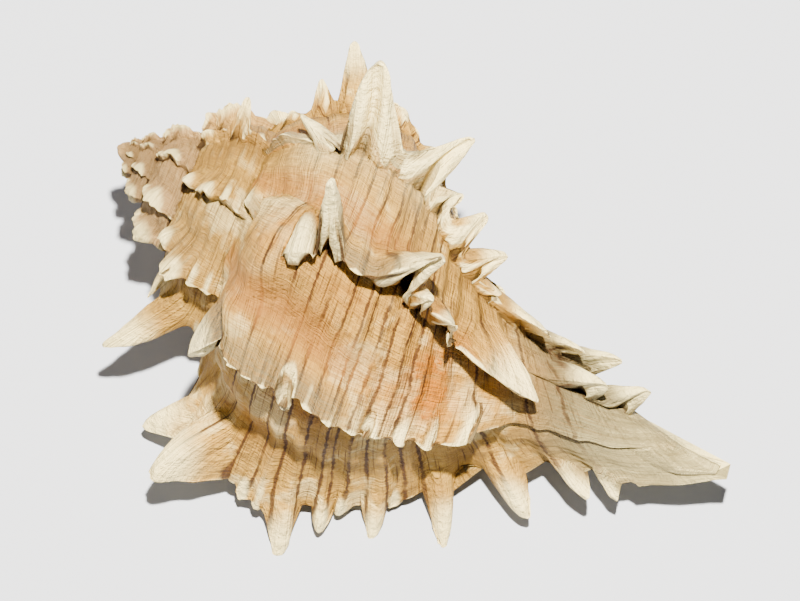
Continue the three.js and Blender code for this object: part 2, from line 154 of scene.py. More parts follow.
@dataclass(frozen=True)
class Photo:
    """How the photograph's pixels lie on the shell's frame."""

    pixel: float = 0.18
    apex: tuple[float, float] = (115.0, 145.0)
    middle: tuple[float, float] = (415.5, 299.5)
    camera_height: float = 1200.0

    def point(self, x: float, y: float, height: float) -> Array:
        """Point of the shell's frame that the photograph shows at a pixel.

        Args:
            x: Pixel to the right.
            y: Pixel down.
            height: Height over the axis in millimetres.

        Returns:
            The point in millimetres.
        """
        nearness = (self.camera_height - height) / self.camera_height
        across = (self.middle[0] + (x - self.middle[0]) * nearness - self.apex[0]) * self.pixel
        down = (self.middle[1] + (y - self.middle[1]) * nearness - self.apex[1]) * self.pixel
        along = across * math.cos(LIE.axis_turn) + down * math.sin(LIE.axis_turn)
        lipward = down * math.cos(LIE.axis_turn) - across * math.sin(LIE.axis_turn)
        return np.array([along, -lipward, height])


@dataclass(frozen=True)
class Growth:
    """The law of the spiral: every section is the lip's section, turned back and shrunk.

    The section gives distance along the axis and radius at each whole cord, from 0 at the seam to 12
    at the canal's end.
    """

    per_turn: float = 1.78
    lip_angle: float = math.radians(92)
    slant_per_cord: float = math.radians(2.6)
    slant_start: float = 3.5
    slant_cords: float = 4.5
    canal_bend: float = 0.003
    canal_bend_start: float = 85.0
    flat_side: float = 0.14
    flat_angle: float = math.radians(-100)
    flat_full_cord: float = 2.4
    flat_end_cord: float = 4.8
    last_cord: float = 12.0
    arc_steps: int = 1201
    section: tuple[Row, ...] = (
        (30.4, 19.0), (33.0, 24.5), (36.4, 30.0), (41.8, 34.2), (49.0, 36.4), (57.6, 36.2), (65.7, 33.4),
        (73.8, 28.2), (81.0, 21.2), (90.0, 15.0), (100.8, 11.4), (113.4, 7.6), (124.6, 1.5),
    )
    frill: Row = (0.8, 2.6, 4.8, 6.5, 6.8, 6.2, 5.4, 4.4, 2.4, 1.3, 1.0, 1.4, 0.4)

    def size(self, angle: float) -> float:
        """Size of the shell when its lip stood at an angle, 1 at the lip."""
        return self.per_turn ** ((angle - self.lip_angle) / (2 * math.pi))

    def outline(self, cord: Array) -> Array:
        """Distance along the axis and radius of the lip's section at a cord."""
        return catmull(np.array(self.section), cord)

    def arc(self, cord: Array) -> Array:
        """Length along the lip's section from cord 0.

        Args:
            cord: Place on the section.

        Returns:
            The length in millimetres.
        """
        fine = np.linspace(0.0, self.last_cord, self.arc_steps)
        steps = np.linalg.norm(np.diff(self.outline(fine), axis=0), axis=1)
        return np.interp(cord, fine, np.concatenate([[0.0], np.cumsum(steps)]))

    def place(self, along: Array, radius: Array, angle: Array) -> Array:
        """Points of the shell's frame.

        Args:
            along: Distance along the axis.
            radius: Distance from the axis.
            angle: Angle round the axis.

        Returns:
            The points.
        """
        along, radius, angle = np.broadcast_arrays(along, radius, angle)
        bend = self.canal_bend * np.maximum(0.0, along - self.canal_bend_start) ** 2
        return np.stack([along, -radius * np.sin(angle), radius * np.cos(angle) + bend], axis=-1)


PHOTO = Photo()
GROWTH = Growth()


@dataclass(frozen=True)
class Spine:
    """One spine. Its tip is a pixel of the photograph, or an offset from its root where that is given."""

    cord: float
    x: float = 0.0
    y: float = 0.0
    height: float = 0.0
    width: float = 3.0
    groove: float = 0.3
    outward: float | None = None
    canalward: float = 0.0


@dataclass(frozen=True)
class Edge:
    """A point of a frill's edge: its cord, its pixel in the photograph and its height over the axis."""

    cord: float
    x: float
    y: float
    height: float


@dataclass(frozen=True)
class Ridge:
    """A ridge along a stage's shoulder, from the last frill to the next, steep on the side of the belly."""

    start: float
    end: float
    height: float
    ramp: float = 1.0
    face: float = 0.5
    fade_in: tuple[float, float] = (0.05, 0.35)
    fade_out: tuple[float, float] = (0.8, 1.0)


@dataclass
class Stage:
    """One stage of growth, which ends in a frill with a row of spines."""

    degrees: float
    frill: float
    spines: list[Spine] = field(default_factory=list)
    edge: list[Edge] = field(default_factory=list)
    ridge: Ridge | None = None

    @property
    def angle(self) -> float:
        """Angle of the frill's crest round the axis."""
        return math.radians(self.degrees)


def seen(*rows: Row) -> list[Spine]:
    """Spines that the photograph shows, from rows of cord, the tip's pixel and height, width and groove."""
    return [Spine(*row) for row in rows]


def edge(*rows: Row) -> list[Edge]:
    """Points of a frill's edge, from rows of cord, pixel and height."""
    return [Edge(*row) for row in rows]


def grown(*rows: Row) -> list[Spine]:
    """Spines out of sight, at the lip's size, from rows of cord, reach outward and canalward, and width."""
    return [Spine(cord, width=wide, outward=out, canalward=lean) for cord, out, lean, wide in rows]


SEEN_STAGES = [
    Stage(
        92,
        1.0,
        seen(
            (1.75, 143, 426, -9, 1.8, 0.1), (2.9, 148, 478, 4, 4.4), (4.05, 238, 499, -5, 1.2),
            (4.85, 277, 557, -7.2, 2.5), (5.7, 320, 533, -5, 1.5), (6.05, 336, 514, -6, 1.2),
            (6.6, 370, 541, -8, 1.8), (7.0, 393, 507, -7, 1.2), (7.75, 443, 552, -7.6, 2.3),
            (8.75, 528, 519, -3, 2.5), (9.7, 586, 498, 1, 2.2), (10.4, 616, 501, -1, 1.6),
        ),
        edge(
            (0.9, 199, 378, -3), (1.5, 186, 412, -6), (2.1, 192, 438, -4), (3.9, 240, 486, -3),
            (4.4, 258, 505, -4), (5.3, 304, 506, -5), (6.1, 345, 504, -6), (7.1, 402, 500, -6),
            (8.2, 462, 468, -5), (9.2, 535, 462, -3), (10.0, 592, 470, -1), (10.9, 640, 487, 2),
        ),
    ),
    Stage(
        38,
        0.9,
        seen(
            (1.25, 189, 356, 16, 1.8, 0.0), (4.3, 284, 410, 26, 1.8, 0.3),
            (6.5, 366, 437, 21, 1.4, 0.4), (7.3, 399, 446, 17, 1.8, 0.4),
            (8.0, 429, 450, 13, 1.6, 0.4), (8.7, 468, 443, 12, 2.6, 0.5),
        ),
        edge(
            (0.6, 240, 318, 20), (1.25, 227, 346, 23), (1.7, 223, 334, 33), (2.0, 219, 343, 36),
            (2.5, 226, 364, 36), (3.1, 244, 378, 35), (3.8, 263, 388, 33), (4.3, 281, 391, 31),
            (4.7, 297, 400, 31), (5.2, 313, 416, 31), (5.7, 330, 427, 29), (6.3, 356, 434, 25),
            (7.35, 398, 440, 18), (8.1, 428, 445, 15), (8.8, 458, 440, 13),
        ),
        Ridge(3.9, 1.9, 4.5, 1.2, 0.55),
    ),
    Stage(
        -8,
        0.9,
        seen(
            (3.2, 297, 250, 38, 3.4, 0.0), (4.3, 329, 182, 50, 2.6, 0.45),
            (6.0, 442, 258, 43, 4.4, 0.7), (6.8, 431, 301, 37, 1.8, 0.4),
            (7.6, 456, 327, 34, 2.4, 0.5), (8.1, 447, 345, 30, 1.6, 0.4),
            (9.0, 533, 401, 17, 4.2, 0.1), (10.6, 605, 385, 15, 4.0, 0.3),
            (11.4, 650, 391, 10, 3.4, 0.3),
        ),
        edge(
            (1.4, 262, 246, 25), (2.2, 270, 261, 28), (2.9, 283, 262, 32), (3.6, 309, 261, 35),
            (4.05, 319, 259, 36), (4.55, 338, 263, 36.5), (5.0, 357, 275, 36.5), (5.5, 376, 281, 36.5),
            (6.0, 397, 279, 36), (6.6, 408, 296, 33), (7.2, 427, 309, 31), (7.9, 449, 328, 28),
            (8.4, 455, 345, 24),
        ),
    ),
    Stage(
        -46,
        0.8,
        seen(
            (2.9, 300, 117, 18, 2.8, 0.0), (4.2, 376, 64, 33, 5.2, 0.7), (5.7, 474, 139, 18, 4.4, 0.6),
            (6.6, 462, 195, 16, 2.0, 0.4), (7.3, 486, 217, 14, 2.6, 0.5),
            (8.1, 508, 257, 12, 2.8, 0.5), (8.7, 507, 301, 10, 2.4, 0.4),
            (9.5, 548, 334, 19, 5.0, 0.3), (10.4, 583, 351, 14, 3.0, 0.2),
            (11.0, 621, 360, 11, 3.4, 0.2),
        ),
        edge(
            (2.4, 322, 150, 18), (3.2, 338, 158, 23), (3.8, 352, 160, 26), (4.5, 384, 152, 27),
            (5.2, 410, 162, 25), (5.9, 428, 172, 23), (6.5, 437, 192, 20),
        ),
    ),
    Stage(-92, 0.35, seen((2.9, 320, 79, 0, 1.6), (3.8, 354, 42, 4, 2.8, 0.2))),
    Stage(-138, 0.45),
    Stage(-184, 0.25),
    Stage(-230, 0.45),
    Stage(-274, 0.6, seen((1.7, 147, 297, -3, 2.0), (3.3, 104, 348, 1, 4.6))),
    Stage(-319, 0.8, seen((3.0, 163, 276, 14, 3.4, 0.5))),
    Stage(-363, 0.8, seen((3.0, 203, 190, 21, 3.0, 0.5))),
    Stage(-411, 0.7, seen((3.35, 249, 97, 12, 3.0, 0.4))),
]
PLAIN_SPINES = grown(
    (1.7, 5.5, -2.0, 3.2), (3.0, 10.5, -2.0, 7.0), (4.7, 9.0, 0.0, 5.5), (6.4, 7.0, 0.0, 4.0),
    (7.65, 8.5, 2.0, 5.0), (8.75, 7.0, 3.0, 5.0), (9.65, 5.5, 3.5, 4.5),
)
GROUND_SPINES = grown(
    (1.7, 3.5, -1.5, 3.2), (3.0, 5.6, -1.0, 6.0), (4.7, 2.6, 0.0, 4.5), (6.4, 5.6, 0.0, 4.5),
    (7.65, 12.2, 1.0, 5.0), (8.75, 7.0, 3.0, 5.0), (9.65, 5.5, 3.5, 4.5),
)


@dataclass(frozen=True)
class StageRules:
    """How the stages go on where the photograph doesn't show them."""

    count: int = 37
    step: float = 46.5
    old_frill: float = 0.75
    whorl: int = 8
    first_plain: int = 4
    ground: int = 6
    smooth: int = 7
    edge: int = 4
    edge_reach: float = 0.15
    spire_reach: float = 0.6
    spire_spine_cord: float = 4.0
    spire_cord: float = 5.6
    same_cord: float = 0.8
    groove: float = 0.4

    def stages(self) -> list[Stage]:
        """All stages, from the lip back to the tip of the spire.

        Returns:
            The stages with their spines.
        """
        made: list[Stage] = []
        for index in range(self.count + 1):
            if index < len(SEEN_STAGES):
                stage = replace(SEEN_STAGES[index], spines=list(SEEN_STAGES[index].spines))
            else:
                stage = Stage(made[-1].degrees - self.step, self.old_frill)
            if index >= self.first_plain and index != self.smooth:
                stage.spines += self.plain_spines(stage, index)
            made.append(stage)
        return made

    def plain_spines(self, stage: Stage, index: int) -> list[Spine]:
        """Spines on the cords where a stage shows none.

        Args:
            stage: The stage.
            index: Its number, counted from the lip.

        Returns:
            The added spines.
        """
        last = GROWTH.last_cord if index < self.whorl else self.spire_spine_cord
        reach = self.spire_reach if index >= self.whorl else 1.0
        if index == self.edge:
            reach = self.edge_reach
        taken = [spine.cord for spine in stage.spines]
        source = GROUND_SPINES if index == self.ground else PLAIN_SPINES
        return [
            replace(s, groove=self.groove, outward=s.outward * reach, canalward=s.canalward * reach)
            for s in source
            if s.cord <= last and all(abs(s.cord - other) >= self.same_cord for other in taken)
        ]


# Node trees


@dataclass(frozen=True)
class Ramp:
    """A smooth change from start, where a value is low, to end, where it is high."""

    low: float
    high: float
    start: float = 0.0
    end: float = 1.0


@dataclass(frozen=True)
class Grain:
    """Noise drawn out along growth or across it: how often it changes with turn and cord, and its kind."""

    turn_rate: object
    cord_rate: float
    layer: object
    detail: float = 3.0
    rough: float = 0.55


class Tree:
    """Adds linked nodes to a node tree."""

    def __init__(self, tree: NodeTree) -> None:
        """Wraps a geometry or shader node tree."""
        self.tree = tree

    def node(self, kind: str, settings: dict | None = None, inputs: dict | None = None) -> Node:
        """Adds a node.

        Args:
            kind: The node's type.
            settings: Values for the node's own properties.
            inputs: Values or sockets for its inputs, by name or number.

        Returns:
            The node.
        """
        made = self.tree.nodes.new(kind)
        for name, value in (settings or {}).items():
            setattr(made, name, value)
        for name, value in (inputs or {}).items():
            self.put(value, made.inputs[name])
        return made

    def put(self, value: object, socket: NodeSocket) -> None:
        """Links an output socket to an input, or sets the input to a plain value.

        Args:
            value: The output socket or value.
            socket: The input that takes it.
        """
        if isinstance(value, NodeSocket):
            self.tree.links.new(value, socket)
        else:
            socket.default_value = value

    def math(self, operation: str, *values: object) -> NodeSocket:
        """Result of a Math node on sockets or numbers."""
        return self.node("ShaderNodeMath", {"operation": operation}, dict(enumerate(values))).outputs[0]

    def times(self, first: object, *others: object) -> NodeSocket:
        """Product of sockets or numbers.

        Args:
            first: The first factor.
            others: The other factors.

        Returns:
            The product.
        """
        for other in others:
            first = self.math("MULTIPLY", first, other)
        return first

    def plus(self, first: object, second: object) -> NodeSocket:
        """Sum of two sockets or numbers."""
        return self.math("ADD", first, second)

    def minus(self, first: object, second: object) -> NodeSocket:
        """Difference of two sockets or numbers."""
        return self.math("SUBTRACT", first, second)

    def span(self, value: object, ramp: Ramp) -> NodeSocket:
        """Maps a value by a ramp.

        Args:
            value: The value.
            ramp: The ramp.

        Returns:
            The mapped value.
        """
        limits = {"From Min": ramp.low, "From Max": ramp.high, "To Min": ramp.start, "To Max": ramp.end}
        smooth = {"interpolation_type": "SMOOTHSTEP"}
        return self.node("ShaderNodeMapRange", smooth, {"Value": value, **limits}).outputs["Result"]

    def spans(self, value: object, ramps: Sequence[Ramp]) -> NodeSocket:
        """Product of a value's maps by several ramps."""
        return self.times(*[self.span(value, ramp) for ramp in ramps])

    def noise(self, place: object, scale: float, detail: float, rough: float) -> NodeSocket:
        """Noise at a vector, with a number and strength of finer octaves."""
        inputs = {"Vector": place, "Scale": scale, "Detail": detail, "Roughness": rough}
        return self.node("ShaderNodeTexNoise", {"noise_dimensions": "3D"}, inputs).outputs[0]

    def combine(self, x: object, y: object, z: object) -> NodeSocket:
        """Vector of three sockets or numbers."""
        return self.node("ShaderNodeCombineXYZ", None, {0: x, 1: y, 2: z}).outputs[0]

    def grain(self, turn: object, cord: object, grain: Grain) -> NodeSocket:
        """Noise of a grain at a turn and cord."""
        scaled = self.times(turn, grain.turn_rate), self.times(cord, grain.cord_rate)
        return self.noise(self.combine(*scaled, grain.layer), 1.0, grain.detail, grain.rough)

    def swayed(self, turn: object, cord: object, grain: Grain, share: float) -> NodeSocket:
        """A cord that sways with a grain."""
        return self.plus(cord, self.times(self.minus(self.grain(turn, cord, grain), NOISE_MEAN), share))

    def stored(self, name: str) -> NodeSocket:
        """Number stored on the mesh, in a geometry tree."""
        kind = "GeometryNodeInputNamedAttribute"
        return self.node(kind, {"data_type": "FLOAT"}, {"Name": name}).outputs["Attribute"]

    def mark(self, name: str) -> NodeSocket:
        """Number stored on the mesh, in a material."""
        return self.node("ShaderNodeAttribute", {"attribute_name": name}).outputs["Fac"]

    def blend(self, share: object, first: object, second: object) -> NodeSocket:
        """Mixes two colours.

        Args:
            share: How much of the second colour shows.
            first: The first colour, as a socket or RGB.
            second: The second colour, as a socket or RGB.

        Returns:
            The mixed colour.
        """
        made = self.node("ShaderNodeMix", {"data_type": "RGBA", "blend_type": "MIX", "clamp_factor": True})
        sockets = [s for s in made.inputs if s.enabled]
        for value, socket in zip((share, first, second), sockets):
            self.put((*value, 1.0) if isinstance(value, tuple) else value, socket)
        return next(s for s in made.outputs if s.enabled)


def add_socket(tree: NodeTree, name: str, kind: str, way: str = "INPUT") -> str:
    """Adds a named input or output to a node tree and gives its identifier."""
    return tree.interface.new_socket(name, in_out=way, socket_type=kind).identifier


class MeshTree:
    """Geometry tree that moves a mesh's points, with named number inputs and a material."""

    def __init__(self, name: str, numbers: dict[str, float]) -> None:
        """Builds the tree.

        Args:
            name: Its name.
            numbers: The values that its number inputs are set to, by name.
        """
        self.numbers = numbers
        self.tree = bpy.data.node_groups.new(name, "GeometryNodeTree")
        add_socket(self.tree, "Geometry", "NodeSocketGeometry")
        self.inputs = {entry: add_socket(self.tree, entry, "NodeSocketFloat") for entry in numbers}
        self.inputs["Material"] = add_socket(self.tree, "Material", "NodeSocketMaterial")
        add_socket(self.tree, "Geometry", "NodeSocketGeometry", "OUTPUT")
        t = Tree(self.tree)
        given = t.node("NodeGroupInput").outputs
        geometry = t.node("GeometryNodeSetPosition", None, {0: given["Geometry"], **self.move(t, given)})
        geometry = t.node("GeometryNodeRealizeInstances", None, {0: geometry.outputs[0]})
        dress = {"Geometry": geometry.outputs[0], "Material": given["Material"]}
        geometry = t.node("GeometryNodeSetMaterial", None, dress)
        t.node("NodeGroupOutput", None, {0: geometry.outputs[0]})

    def move(self, t: Tree, given: NodeOutputs) -> dict[str, NodeSocket]:
        """Input of the Set Position node, by name, from the tree's own inputs."""
        raise NotImplementedError

    def run(self, piece: Object, material: Material) -> Mesh:
        """Runs the tree on an object and takes its result as a plain mesh.

        Args:
            piece: The object.
            material: The material for the tree's last node.

        Returns:
            The resulting mesh.
        """
        modifier = piece.modifiers.new(self.tree.name, "NODES")
        modifier.node_group = self.tree
        for name, value in {**self.numbers, "Material": material}.items():
            modifier[self.inputs[name]] = value
        mesh = applied(piece)
        piece.modifiers.remove(modifier)
        return mesh


class SpiralWrap(MeshTree):
    """Rolls the flat sheets, which store along, radius, angle and turn, onto the shell's spiral."""

    def __init__(self) -> None:
        """Builds the tree with the law of growth as its inputs."""
        law = (GROWTH.per_turn, GROWTH.lip_angle, GROWTH.canal_bend, GROWTH.canal_bend_start)
        names = ("Growth per Turn", "Lip Angle", "Canal Bend", "Bend Start")
        super().__init__("spiral_wrap", dict(zip(names, law)))

    def move(self, t: Tree, given: NodeOutputs) -> dict[str, NodeSocket]:
        """Rolled place at the size of each turn, with the canal's bend.

        Args:
            t: The tree.
            given: The tree's inputs.

        Returns:
            The position.
        """
        turns = t.math("DIVIDE", t.minus(t.stored("turn"), given["Lip Angle"]), 2 * math.pi)
        size = t.math("POWER", given["Growth per Turn"], turns)
        along = t.times(t.stored("along"), size)
        radius = t.times(t.stored("radius"), size)
        angle = t.stored("angle")
        past = t.math("MAXIMUM", t.minus(along, given["Bend Start"]), 0.0)
        bend = t.times(past, past, given["Canal Bend"])
        side = t.times(radius, t.math("SINE", angle), -1.0)
        rise = t.plus(t.times(radius, t.math("COSINE", angle)), bend)
        return {"Position": t.combine(along, side, rise)}


class Relief(MeshTree):
    """Raises the low cords and growth folds on a mesh that stores cord, turn, size, inner and open_face."""

    NUMBERS = {
        "Cord Spacing": 0.6,
        "Cord Height": 0.42,
        "Fold Count": 9.0,
        "Fold Height": 0.7,
        "Lump Height": 0.7,
        "Seed": 4.0,
    }
    SWAY = 0.35
    SWAY_RATES = (2.0, 1.0)
    FOLD = (0.5, 3.0, 2.0)
    LUMPS = (160.0, 3.0, 0.55)
    BELLY = (Ramp(2.5, 5.0, 0.35, 1.0), Ramp(9.0, 11.0, 1.0, 0.3))
    SPIRE = Ramp(-3.5, -5.5)

    def __init__(self) -> None:
        """Builds the tree with its heights as inputs."""
        super().__init__("shell_relief", self.NUMBERS)

    def move(self, t: Tree, given: NodeOutputs) -> dict[str, NodeSocket]:
        """Cords along growth, folds across it and slow lumps.

        Args:
            t: The tree.
            given: The tree's inputs.

        Returns:
            The offset.
        """
        cord, turn = t.stored("cord"), t.stored("turn")
        swayed = t.swayed(turn, cord, Grain(*self.SWAY_RATES, given["Seed"]), self.SWAY)
        wave = t.math("SINE", t.times(t.math("DIVIDE", swayed, given["Cord Spacing"]), 2 * math.pi))
        belly = t.math("MAXIMUM", t.spans(cord, self.BELLY), t.span(turn, self.SPIRE))
        cords = t.times(wave, given["Cord Height"], belly)
        fold = t.grain(turn, cord, Grain(given["Fold Count"], *self.FOLD))
        folds = t.times(t.minus(fold, NOISE_MEAN), given["Fold Height"])
        place = t.node("GeometryNodeInputPosition").outputs[0]
        lumps = t.times(t.minus(t.noise(place, *self.LUMPS), NOISE_MEAN), given["Lump Height"])
        outside = t.times(t.minus(1.0, t.stored("inner")), t.stored("open_face"))
        height = t.times(t.plus(t.plus(cords, folds), lumps), outside)
        shift = {
            0: t.node("GeometryNodeInputNormal").outputs[0],
            "Scale": t.times(height, t.times(t.stored("size"), MM)),
        }
        return {"Offset": t.node("ShaderNodeVectorMath", {"operation": "SCALE"}, shift).outputs[0]}


def applied(piece: Object) -> Mesh:
    """Takes an object's mesh with its modifiers applied.

    Args:
        piece: The object.

    Returns:
        The new mesh.
    """
    bpy.context.view_layer.update()
    graph = bpy.context.evaluated_depsgraph_get()
    return bpy.data.meshes.new_from_object(piece.evaluated_get(graph), depsgraph=graph)


def read_vectors(entries: bpy.types.bpy_prop_collection, name: str) -> Array:
    """Reads a vector of each entry of a mesh, one in each row.

    Args:
        entries: The entries, such as the mesh's points.
        name: The vector's name.

    Returns:
        The vectors.
    """
    flat = np.empty(len(entries) * 3, np.float32)
    entries.foreach_get(name, flat)
    return flat.reshape(-1, 3).astype(float)


def read_points(mesh: Mesh) -> Array:
    """Reads a mesh's points."""
    return read_vectors(mesh.vertices, "co")


def point_normals(mesh: Mesh) -> Array:
    """Reads the normals at a mesh's points."""
    return read_vectors(mesh.vertex_normals, "vector")


def write_numbers(mesh: Mesh, name: str, values: Array) -> None:
    """Stores a number for each point of a mesh under a name."""
    kept = mesh.attributes.get(name) or mesh.attributes.new(name, "FLOAT", "POINT")
    kept.data.foreach_set("value", np.ascontiguousarray(values, np.float32))


def new_object(name: str, data: bpy.types.ID) -> Object:
    """Adds an object to the scene.

    Args:
        name: The object's name.
        data: Its mesh, light or camera.

    Returns:
        The object.
    """
    made = bpy.data.objects.new(name, data)
    bpy.context.scene.collection.objects.link(made)
    return made


def new_mesh(name: str, points: Array, faces: Sequence[Face]) -> Mesh:
    """Makes a mesh.

    Args:
        name: The mesh's name.
        points: Its points.
        faces: The point numbers of each face.

    Returns:
        The mesh.
    """
    mesh = bpy.data.meshes.new(name)
    mesh.from_pydata(points.tolist(), [], faces)
    mesh.update()
    return mesh


def swap_mesh(piece: Object, mesh: Mesh) -> None:
    """Gives an object another mesh and drops the old one.

    Args:
        piece: The object.
        mesh: Its new mesh.
    """
    old = piece.data
    piece.data = mesh
    bpy.data.meshes.remove(old)


# The solids


@dataclass(frozen=True)
class Wave:
    """A random wave along the lip: its height, how often it changes in a cord, and its seed."""

    height: float
    rate: float
    seed: int


@dataclass(frozen=True)
class SheetRules:
    """How a growth stage's sheet is sampled and how its frill and spines stand.

    Each sample row gives the first stage that it doesn't hold for, rows up to the crest, and columns.
    """

    samples: tuple[tuple[int, int, int], ...] = ((4, 33, 300), (8, 20, 180), (14, 15, 80), (99, 10, 44))
    spread_steps: int = 4001
    crowding: float = 2.5
    overlap: float = math.radians(10)
    rise_ease: float = 1.5
    falls: Row = (0.08, 0.18, 0.3, 0.45, 0.62, 0.8, 1.0)
    front: float = math.radians(3.2)
    climb_ease: int = 3
    front_ease: float = 0.7
    reach_ease: int = 6
    lean: float = 0.35
    sway_share: float = 0.5
    ruffle: tuple[Wave, ...] = (Wave(0.24, 2.6, 40), Wave(0.14, 6.3, 90))
    sway: tuple[Wave, ...] = (Wave(0.5, 1.9, 140), Wave(0.3, 5.1, 190))
    edge_ruffle: tuple[Wave, ...] = (Wave(0.35, 5.3, 90), Wave(0.25, 11.0, 95))
    sink: float = 0.94
    axis_overlap: float = 1.5
    axis_start: float = 0.2
    trough: float = 2.2
    trough_place: float = 0.74
    trough_width: float = 0.13
    trough_begin: tuple[float, float] = (0.5, 2.0)
    trough_end: tuple[float, float] = (4.5, 6.8)
    flare_start: float = 0.62
    flare_ease: float = 2.2
    edge_blend: float = 0.7
    edge_front_ease: float = 0.8
    taper: float = 0.66
    tip_round: float = 0.2
    tip_cut: float = 0.9
    groove_width: float = 0.35
    groove_least: float = 0.05
    groove_fade: int = 4
    start_depth: float = 2.6
    start_share: float = 0.16
    web_share: float = 0.24
    web_width: float = 2.6
    root_width: float = 1.3
    root_least: float = 3.0
    wobble: float = 0.05
    wobble_rates: tuple[int, int] = (9, 2)
    wobble_seed: int = 300
    wobble_seed_step: int = 20

    def counts(self, index: int) -> tuple[int, int]:
        """Rows up to the crest, and columns, of a stage's sheet."""
        return next((rows, columns) for end, rows, columns in self.samples if index < end)


@dataclass
class StageSheet:
    """The outer sheet of one growth stage: a grid of rows along growth and columns along the lip."""

    index: int
    stage: Stage
    start: float
    rules: SheetRules
    last_cord: float
    rise: Array = field(init=False)
    fall: Array = field(init=False)
    turn: Array = field(init=False)
    cords: Array = field(init=False)
    points: Array = field(init=False)
    horn: Array = field(init=False)

    def __post_init__(self) -> None:
        """Sets out the rows and columns."""
        rows, columns = self.rules.counts(self.index)
        climb = 1 - (1 - np.arange(rows + 1) / rows) ** self.rules.rise_ease
        falls = np.array(self.rules.falls)
        self.rise = np.concatenate([climb, np.ones(len(falls))])
        self.fall = np.concatenate([np.zeros(rows + 1), falls])
        self.turn = self.start + (self.stage.angle - self.start) * self.rise + self.rules.front * self.fall
        self.cords = self.spread(columns)

    def spread(self, columns: int) -> Array:
        """Cords of the columns, closer together at the spines.

        Args:
            columns: How many there are.

        Returns:
            The cords.
        """
        fine = np.linspace(0.0, self.last_cord, self.rules.spread_steps)
        crowd = np.ones_like(fine)
        for spine in self.stage.spines:
            gap = (GROWTH.arc(fine) - GROWTH.arc(spine.cord)) / spine.width
            crowd += self.rules.crowding * np.exp(-(gap**2))
        total = np.concatenate([[0.0], np.cumsum((crowd[1:] + crowd[:-1]) / 2)])
        return np.interp(np.linspace(0.0, total[-1], columns), total, fine)

    @property
    def size(self) -> float:
        """Size of the shell at this stage, 1 at the lip."""
        return GROWTH.size(self.stage.angle)

    @property
    def crest_row(self) -> int:
        """Number of the row along the frill's edge."""
        return len(self.rise) - len(self.rules.falls) - 1

    @property
    def in_front(self) -> Array:
        """Which rows lie on the frill's steep front."""
        return self.fall > 0

    def flat(self) -> dict[str, Array]:
        """The unrolled sheet for the wrap.

        Returns:
            The attributes along, radius, angle and turn for each grid point.
        """
        turn, cord = np.meshgrid(self.turn, self.cords, indexing="ij")
        outline = GROWTH.outline(cord)
        slant = GROWTH.slant_per_cord * np.clip(cord - GROWTH.slant_start, 0.0, GROWTH.slant_cords)
        side = np.maximum(0.0, np.cos(turn - GROWTH.flat_angle))
        flat = GROWTH.flat_side * (1 - smoothstep(cord, GROWTH.flat_full_cord, GROWTH.flat_end_cord)) * side
        return {
            "along": outline[..., 0],
            "radius": outline[..., 1] * (1 - flat),
            "angle": turn + slant,
            "turn": turn,
        }

    def shape(self, base: Array) -> None:
        """Raises the frill and draws out the spines.

        Args:
            base: The rolled grid, rows by columns by 3.
        """
        onward = unit(np.gradient(base, axis=0))
        canalward = unit(np.gradient(base, axis=1))
        outward = unit(np.cross(onward, canalward))
        frill = self.frill_shift(base, onward, outward)
        shift = frill.copy()
        self.horn = np.zeros(base.shape[:2])
        for number, spine in enumerate(self.stage.spines):
            shift += self.spine_shift(spine, number, base, frill, (onward, canalward, outward))
        sunk = self.rules.start_depth * self.size * (1 - smoothstep(self.rise, 0.0, self.rules.start_share))
        self.points = base + shift - outward * sunk[:, None, None]
        self.points[-1, :, 1:] *= self.rules.sink

    def waves(self, kinds: Sequence[Wave], start: float = 0.0) -> Array:
        """Sum of a start and random waves along the lip."""
        return sum((w.height * ripple(self.cords * w.rate, w.seed + self.index) for w in kinds), start)

    def frill_shift(self, base: Array, onward: Array, outward: Array) -> Array:
        """How the frill moves the grid.

        Args:
            base: The rolled grid.
            onward: Direction of growth at each grid point.
            outward: Direction out of the shell.

        Returns:
            The shift.
        """
        rules = self.rules
        heights = catmull(np.array(GROWTH.frill), self.cords) * self.stage.frill * self.size
        front = 1 - self.fall
        climb = np.where(self.in_front, front**rules.front_ease, self.rise**rules.climb_ease)[:, None]
        reach = np.where(self.in_front, front, self.rise**rules.reach_ease)[:, None]
        up = heights * self.waves(rules.ruffle, 1.0)
        shift = outward * (up * climb - self.trough())[..., None]
        shift += onward * (up * reach * (rules.lean + rules.sway_share * self.waves(rules.sway)))[..., None]
        if not self.stage.edge:
            return shift
        share, drawn = self.drawn_edge(base, outward)
        return shift * (1 - share)[None, :, None] + drawn * share[None, :, None]

    def ridge_height(self) -> Array:
        """How high the shoulder's ridge stands at each grid point.

        Returns:
            The heights in millimetres, rows by columns.
        """
        ridge = self.stage.ridge
        if ridge is None:
            return np.zeros((len(self.rise), len(self.cords)))
        line = ridge.start + (ridge.end - ridge.start) * self.rise
        gap = self.cords[None, :] - line[:, None]
        side = np.where(gap < 0, ridge.ramp, ridge.face)
        fade = smoothstep(self.rise, *ridge.fade_in) * (1 - smoothstep(self.rise, *ridge.fade_out))
        return ridge.height * self.size * np.exp(-((gap / side) ** 2)) * fade[:, None]

    def trough(self) -> Array:
        """How deep the trough behind the frill is at each grid point.

        Returns:
            The depths in millimetres.
        """
        rules = self.rules
        fade = 1 - smoothstep(self.cords, *rules.trough_end)
        depth = rules.trough * self.size * fade * smoothstep(self.cords, *rules.trough_begin)
        gap = (self.rise - rules.trough_place) / rules.trough_width
        return np.exp(-(gap**2))[:, None] * depth

